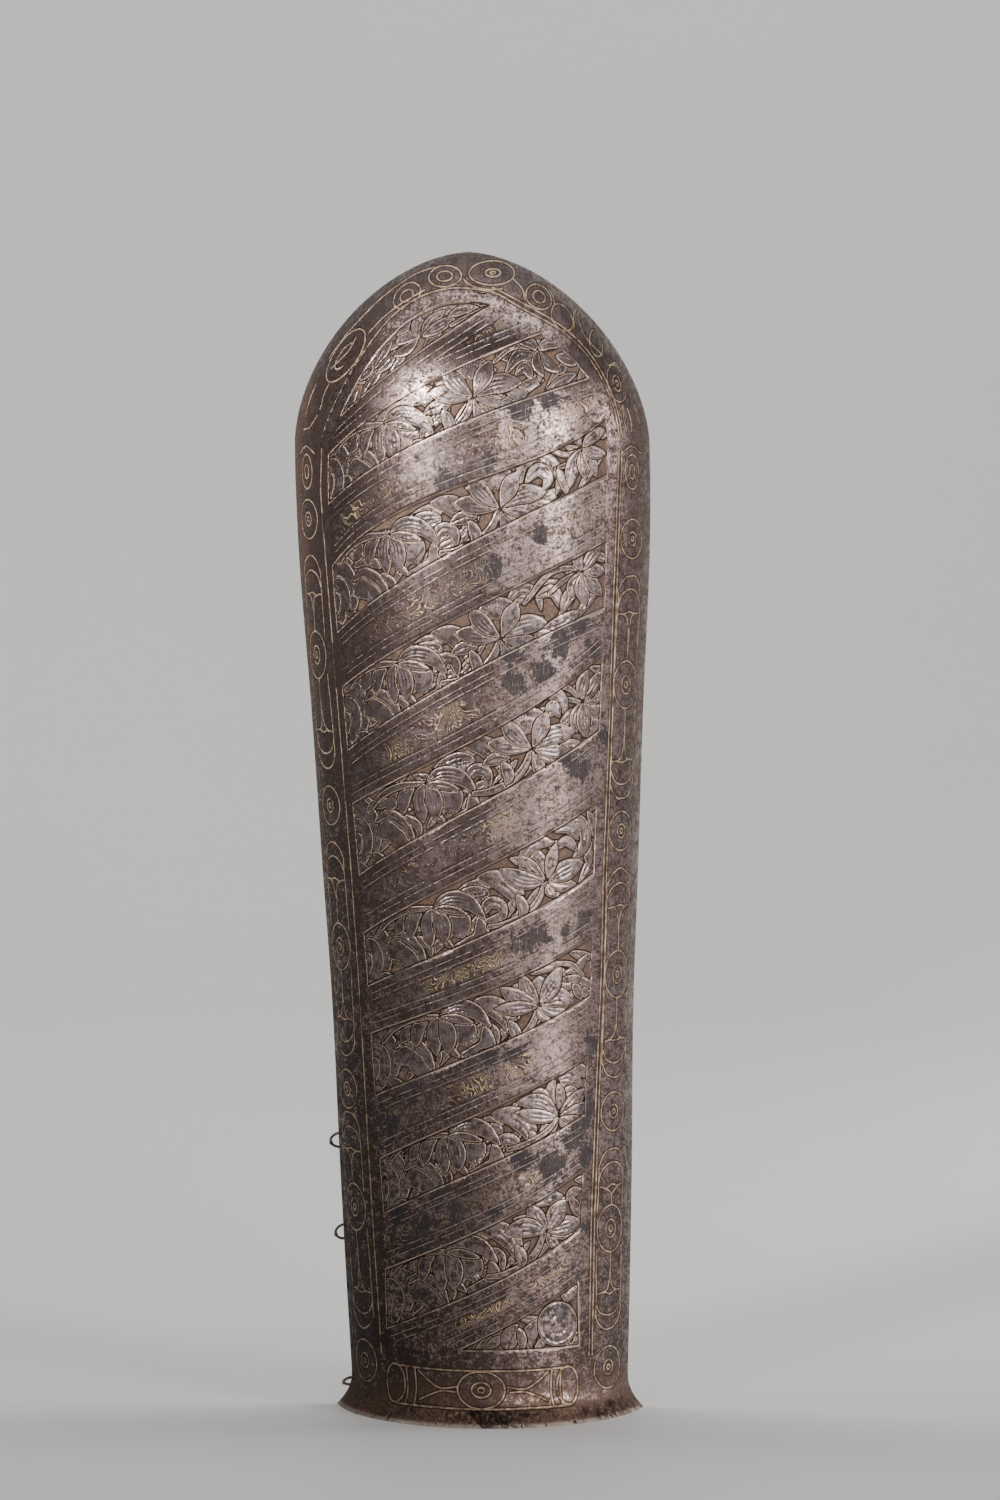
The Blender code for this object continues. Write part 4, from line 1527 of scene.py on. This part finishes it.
def paintGilding(finish, at):
    # traces of gilt scrollwork between the lines
    whorl = (finish.noise(at.spot, 13.0, 1.0, 0.4, 1.1) * 15.0).cycle()
    scroll = abs(whorl - 0.5).between(0.17, 0.05) * at.gap.between(4.9, 5.6) * at.inset.between(1.5, 3.0)
    at.scroll = scroll * (at.speck + at.mottle).between(0.86, 1.06)
    left = (at.cloud.between(0.44, 0.60) * 0.30).most(at.gilt.between(0.15, 0.6) * 0.95)
    finish.paint(at.scroll * left, steelFinish["goldTrace"])


def paintRust(finish, at):
    # brown rust on the turned lip and towards the two long edges, and a worn foot, whose pale edge is
    # partly painted highlight
    look = steelFinish
    rusty = at.height.between(0.20, 0.02).most(abs(at.across).between(0.52, 0.66) * 0.5)
    at.rusty = rusty * (at.cloud + at.mottle * 0.8 + at.speck * 0.5).between(0.94, 1.26)
    finish.paint(at.height.between(0.085, 0.03) * at.mottle.between(0.58, 0.40) * 0.75, look["brownFilmAndShade"])
    bloom = (at.speck + at.grain * 0.5).between(0.60, 0.92)
    finish.paint(at.rusty * 0.85, finish.mixed(bloom, look["edgeRust"], look["rustBloom"]))
    # pale foot edge: worn steel, partly a painted highlight
    foot = at.height.between(0.014, 0.004) * (at.speck + at.mottle).between(0.75, 1.05)
    finish.paint(foot * 0.7, look["paleWearAndHighlight"])


def paintCarving(finish, at):
    # the sunk ground, the dark cut and pale rim of each leaf, and the cut edge of each band; the pale rims
    # and band edges are worn steel, partly painted highlight where the walls catch light
    look = steelFinish
    bloom = (at.mottle * 0.6 + at.speck + at.grain * 0.4).between(0.78, 1.24)
    finish.paint(at.ground * 0.94, finish.mixed(bloom, look["groundDark"], look["groundRust"]))
    broken = (at.speck + at.mottle).between(0.80, 1.0)
    at.groove = at.edge.between(-0.58, -0.40) * (1 - at.edge.between(-0.14, 0.02))
    at.rim = at.edge.between(-0.06, 0.03) * (1 - at.edge.between(0.14, 0.28)) * broken
    finish.paint(at.groove * 0.95, look["outline"])
    # pale leaf rims: worn steel, partly a painted highlight
    finish.paint(at.rim * 0.8, look["tanRimAndHighlight"])
    within = at.inset.between(-0.2, 0.2)
    finish.paint((1 - abs(at.gap + 0.38).between(0.10, 0.30)) * within * 0.8, look["outline"])
    # pale band edge: worn steel, partly a painted highlight
    finish.paint(at.gap.near(0.06, 0.08, 0.24) * within * broken * 0.6, look["tanRimAndHighlight"])


def paintInlay(finish, at):
    look = steelFinish
    finish.paint(at.inlay.between(0.74, 0.44) * 0.85, look["outline"])
    kept = (finish.noise(at.spot, 34.0, 3.0, 0.6) + at.speck * 0.55).between(0.50, 0.72)
    brass = finish.mixed(at.mottle.between(0.40, 0.62), look["brassLine"], look["brassDull"])
    finish.paint(at.inlay.between(0.33, 0.17) * kept * 0.92, brass)


def steelRoughness(at):
    covered = at.film.most(at.stained).most(at.ground)
    cut = at.groove.most(at.rim) * 0.22 + at.inlay.between(0.74, 0.30) * 0.18
    rough = steelFinish["baseRoughness"] + cut + at.rusty * 0.15 + covered * 0.30
    return rough + at.leftward * at.film * 0.12 + at.dull * 0.08 + at.speck * 0.12 - at.rubbed * 0.05


def steelNormal(finish, at):
    grain = at.speck * 0.5 + at.mottle * 0.35 + at.brushed * 0.30 + at.grain * 0.25
    pits = at.ground * finish.noise(at.spot, 150.0, 4.0, 0.7) * 2.4
    normal = finish.bump(grain + pits, steelFinish["grainDepth"])
    return finish.bump(at.cuts * -1.0 + at.scroll * 0.25, steelFinish["lineDepth"], 1.0, normal)


def steelMaterial():
    finish = Finish("patinatedSteel")
    at = steelFields(finish)
    layers = (
        paintPatina, paintStains, paintRubbedSteel, paintBandLines, paintGilding, paintRust, paintCarving,
        paintInlay,
    )
    for paintLayer in layers:
        paintLayer(finish, at)
    metallic = 1.0 - at.film * 0.5 - at.ground * 0.4 - at.stained * 0.3
    normal = steelNormal(finish, at)
    print("plate steel:", len(finish.tree.nodes), "nodes")
    return finish.feed(
        Base_Color=finish.colour, Metallic=metallic, Roughness=steelRoughness(at), Normal=normal,
    )


innerFinish = {
    "dark": (0.075, 0.058, 0.048),
    "pale": (0.15, 0.125, 0.108),
    "rust": (0.10, 0.045, 0.022),
    "metallic": 0.75,
    "hammerDepth": 0.0002,
}


def innerMaterial():
    look = innerFinish
    finish = Finish("plateInside")
    spot = finish.solid()
    cloud = finish.noise(spot, 26.0, 5.0, 0.6)
    speck = finish.noise(spot, 420.0, 5.0, 0.7)
    brushed = finish.noise(finish.solid((60.0, 60.0, 3.0)), 26.0, 3.0, 0.6)
    finish.colour = finish.mixed(cloud.between(0.38, 0.62), look["dark"], look["pale"])
    finish.paint((speck + cloud * 0.4).between(0.68, 0.84) * 0.7, look["rust"])
    roughness = 0.48 + speck * 0.22
    normal = finish.bump(speck * 0.6 + brushed * 0.4 + cloud * 0.8, look["hammerDepth"])
    return finish.feed(
        Base_Color=finish.colour, Metallic=look["metallic"], Roughness=roughness, Normal=normal,
    )


ironFinish = {
    "worn": (0.16, 0.14, 0.13),
    "rusted": (0.055, 0.030, 0.020),
    "metallic": 0.9,
    "pitDepth": 0.00003,
}


def ironMaterial():
    look = ironFinish
    finish = Finish("mailIron")
    spot = finish.solid()
    rust = finish.noise(spot, 900.0, 4.0, 0.65)
    fine = finish.noise(spot, 3200.0, 3.0, 0.6)
    colour = finish.mixed((rust + fine * 0.3).between(0.56, 0.80), look["worn"], look["rusted"])
    normal = finish.bump(rust + fine * 0.5, look["pitDepth"])
    roughness = 0.30 + rust * 0.35
    return finish.feed(Base_Color=colour, Metallic=look["metallic"], Roughness=roughness, Normal=normal)


studio = {
    "cameraPlace": (0.0968, -1.4775, 0.289),
    "cameraTarget": (0.0082, 0.0199, 0.1942),
    "lens": 122.7,
    "farthest": 20.0,
    "floorColour": (0.80, 0.79, 0.775),
    "floorRoughness": 0.6,
    "floorFront": -3.9,                # the paper is flat from here
    "sweepStart": 1.0,                 # to here, and then sweeps up
    "sweepRadius": 0.9,
    "paperLength": 8.0,
    "paperHalfWidth": 3.0,
    "worldColour": (0.86, 0.87, 0.90),
    "worldStrength": 0.07,
    # name: (place, target, width, height, watts, degrees of spread, colour)
    "lamps": {
        "keyLamp": ((1.31, -0.90, 0.47), (0.0, 0.0, 0.235), 0.62, 0.9, 1.5, 24.0, (1.0, 0.975, 0.96)),
        "fillLamp": ((0.62, -1.47, 0.45), (0.0, 0.0, 0.235), 0.45, 0.7, 0.34, 23.0, (1.0, 0.975, 0.96)),
        "rimLamp": ((1.57, 0.24, 0.45), (0.0, 0.0, 0.185), 0.45, 0.7, 0.31, 22.0, (1.0, 0.975, 0.96)),
        "topLamp": ((-0.80, -1.26, 0.84), (0.0, 0.0, 0.40), 0.36, 0.36, 1.5, 17.0, (1.0, 0.98, 0.97)),
        "backdropLamp": ((0.0, 0.25, 1.5), (0.0, 1.5, 0.45), 2.2, 0.5, 30.0, 180.0, (1.0, 1.0, 1.0)),
    },
}


def aimedObject(name, data, spot, target):
    made = bpy.data.objects.new(name, data)
    made.location = spot
    made.rotation_euler = (Vector(target) - Vector(spot)).to_track_quat("-Z", "Y").to_euler()
    bpy.context.scene.collection.objects.link(made)
    return made


def makeCamera():
    camera = bpy.data.cameras.new("studioCamera")
    camera.lens = studio["lens"]
    camera.clip_end = studio["farthest"]
    place, target = studio["cameraPlace"], studio["cameraTarget"]
    bpy.context.scene.camera = aimedObject("studioCamera", camera, place, target)


def makeLamps():
    for name, (spot, target, width, tall, watts, spreadDegrees, colour) in studio["lamps"].items():
        lamp = bpy.data.lights.new(name, "AREA")
        lamp.shape = "RECTANGLE"
        lamp.size = width
        lamp.size_y = tall
        lamp.energy = watts
        lamp.spread = math.radians(spreadDegrees)
        lamp.color = colour
        aimedObject(name, lamp, spot, target)
    world = bpy.data.worlds.new("studioWorld")
    world.use_nodes = True
    background = world.node_tree.nodes["Background"]
    background.inputs["Color"].default_value = (*studio["worldColour"], 1.0)
    background.inputs["Strength"].default_value = studio["worldStrength"]
    bpy.context.scene.world = world
    print("lamps:", len(studio["lamps"]))


def makeFloor():
    # a paper floor that sweeps up behind
    radius = studio["sweepRadius"]
    flat = studio["sweepStart"] - studio["floorFront"]
    paper = bmesh.new()
    bmesh.ops.create_grid(paper, x_segments=1, y_segments=60, size=1.0)
    for vertex in paper.verts:
        travel = (vertex.co.y + 1) * studio["paperLength"] / 2
        turn = min(max(travel - flat, 0) / radius, math.pi / 2)
        rise = max(travel - flat - radius * math.pi / 2, 0) + radius * (1 - math.cos(turn))
        forward = studio["floorFront"] + min(travel, flat) + radius * math.sin(turn)
        vertex.co = (vertex.co.x * studio["paperHalfWidth"], forward, rise)
    mesh = bpy.data.meshes.new("studioFloor")
    paper.to_mesh(mesh)
    paper.free()
    mesh.shade_smooth()
    paint = Finish("floorPaint")
    mesh.materials.append(paint.feed(Base_Color=studio["floorColour"], Roughness=studio["floorRoughness"]))
    floor = bpy.data.objects.new("studioFloor", mesh)
    bpy.context.scene.collection.objects.link(floor)


makeCamera()
makeLamps()
makeFloor()
steel = steelMaterial()
outlines = makePanels(steel)
makePlateBody(outlines, steel, innerMaterial())
makeMailRings(ironMaterial())
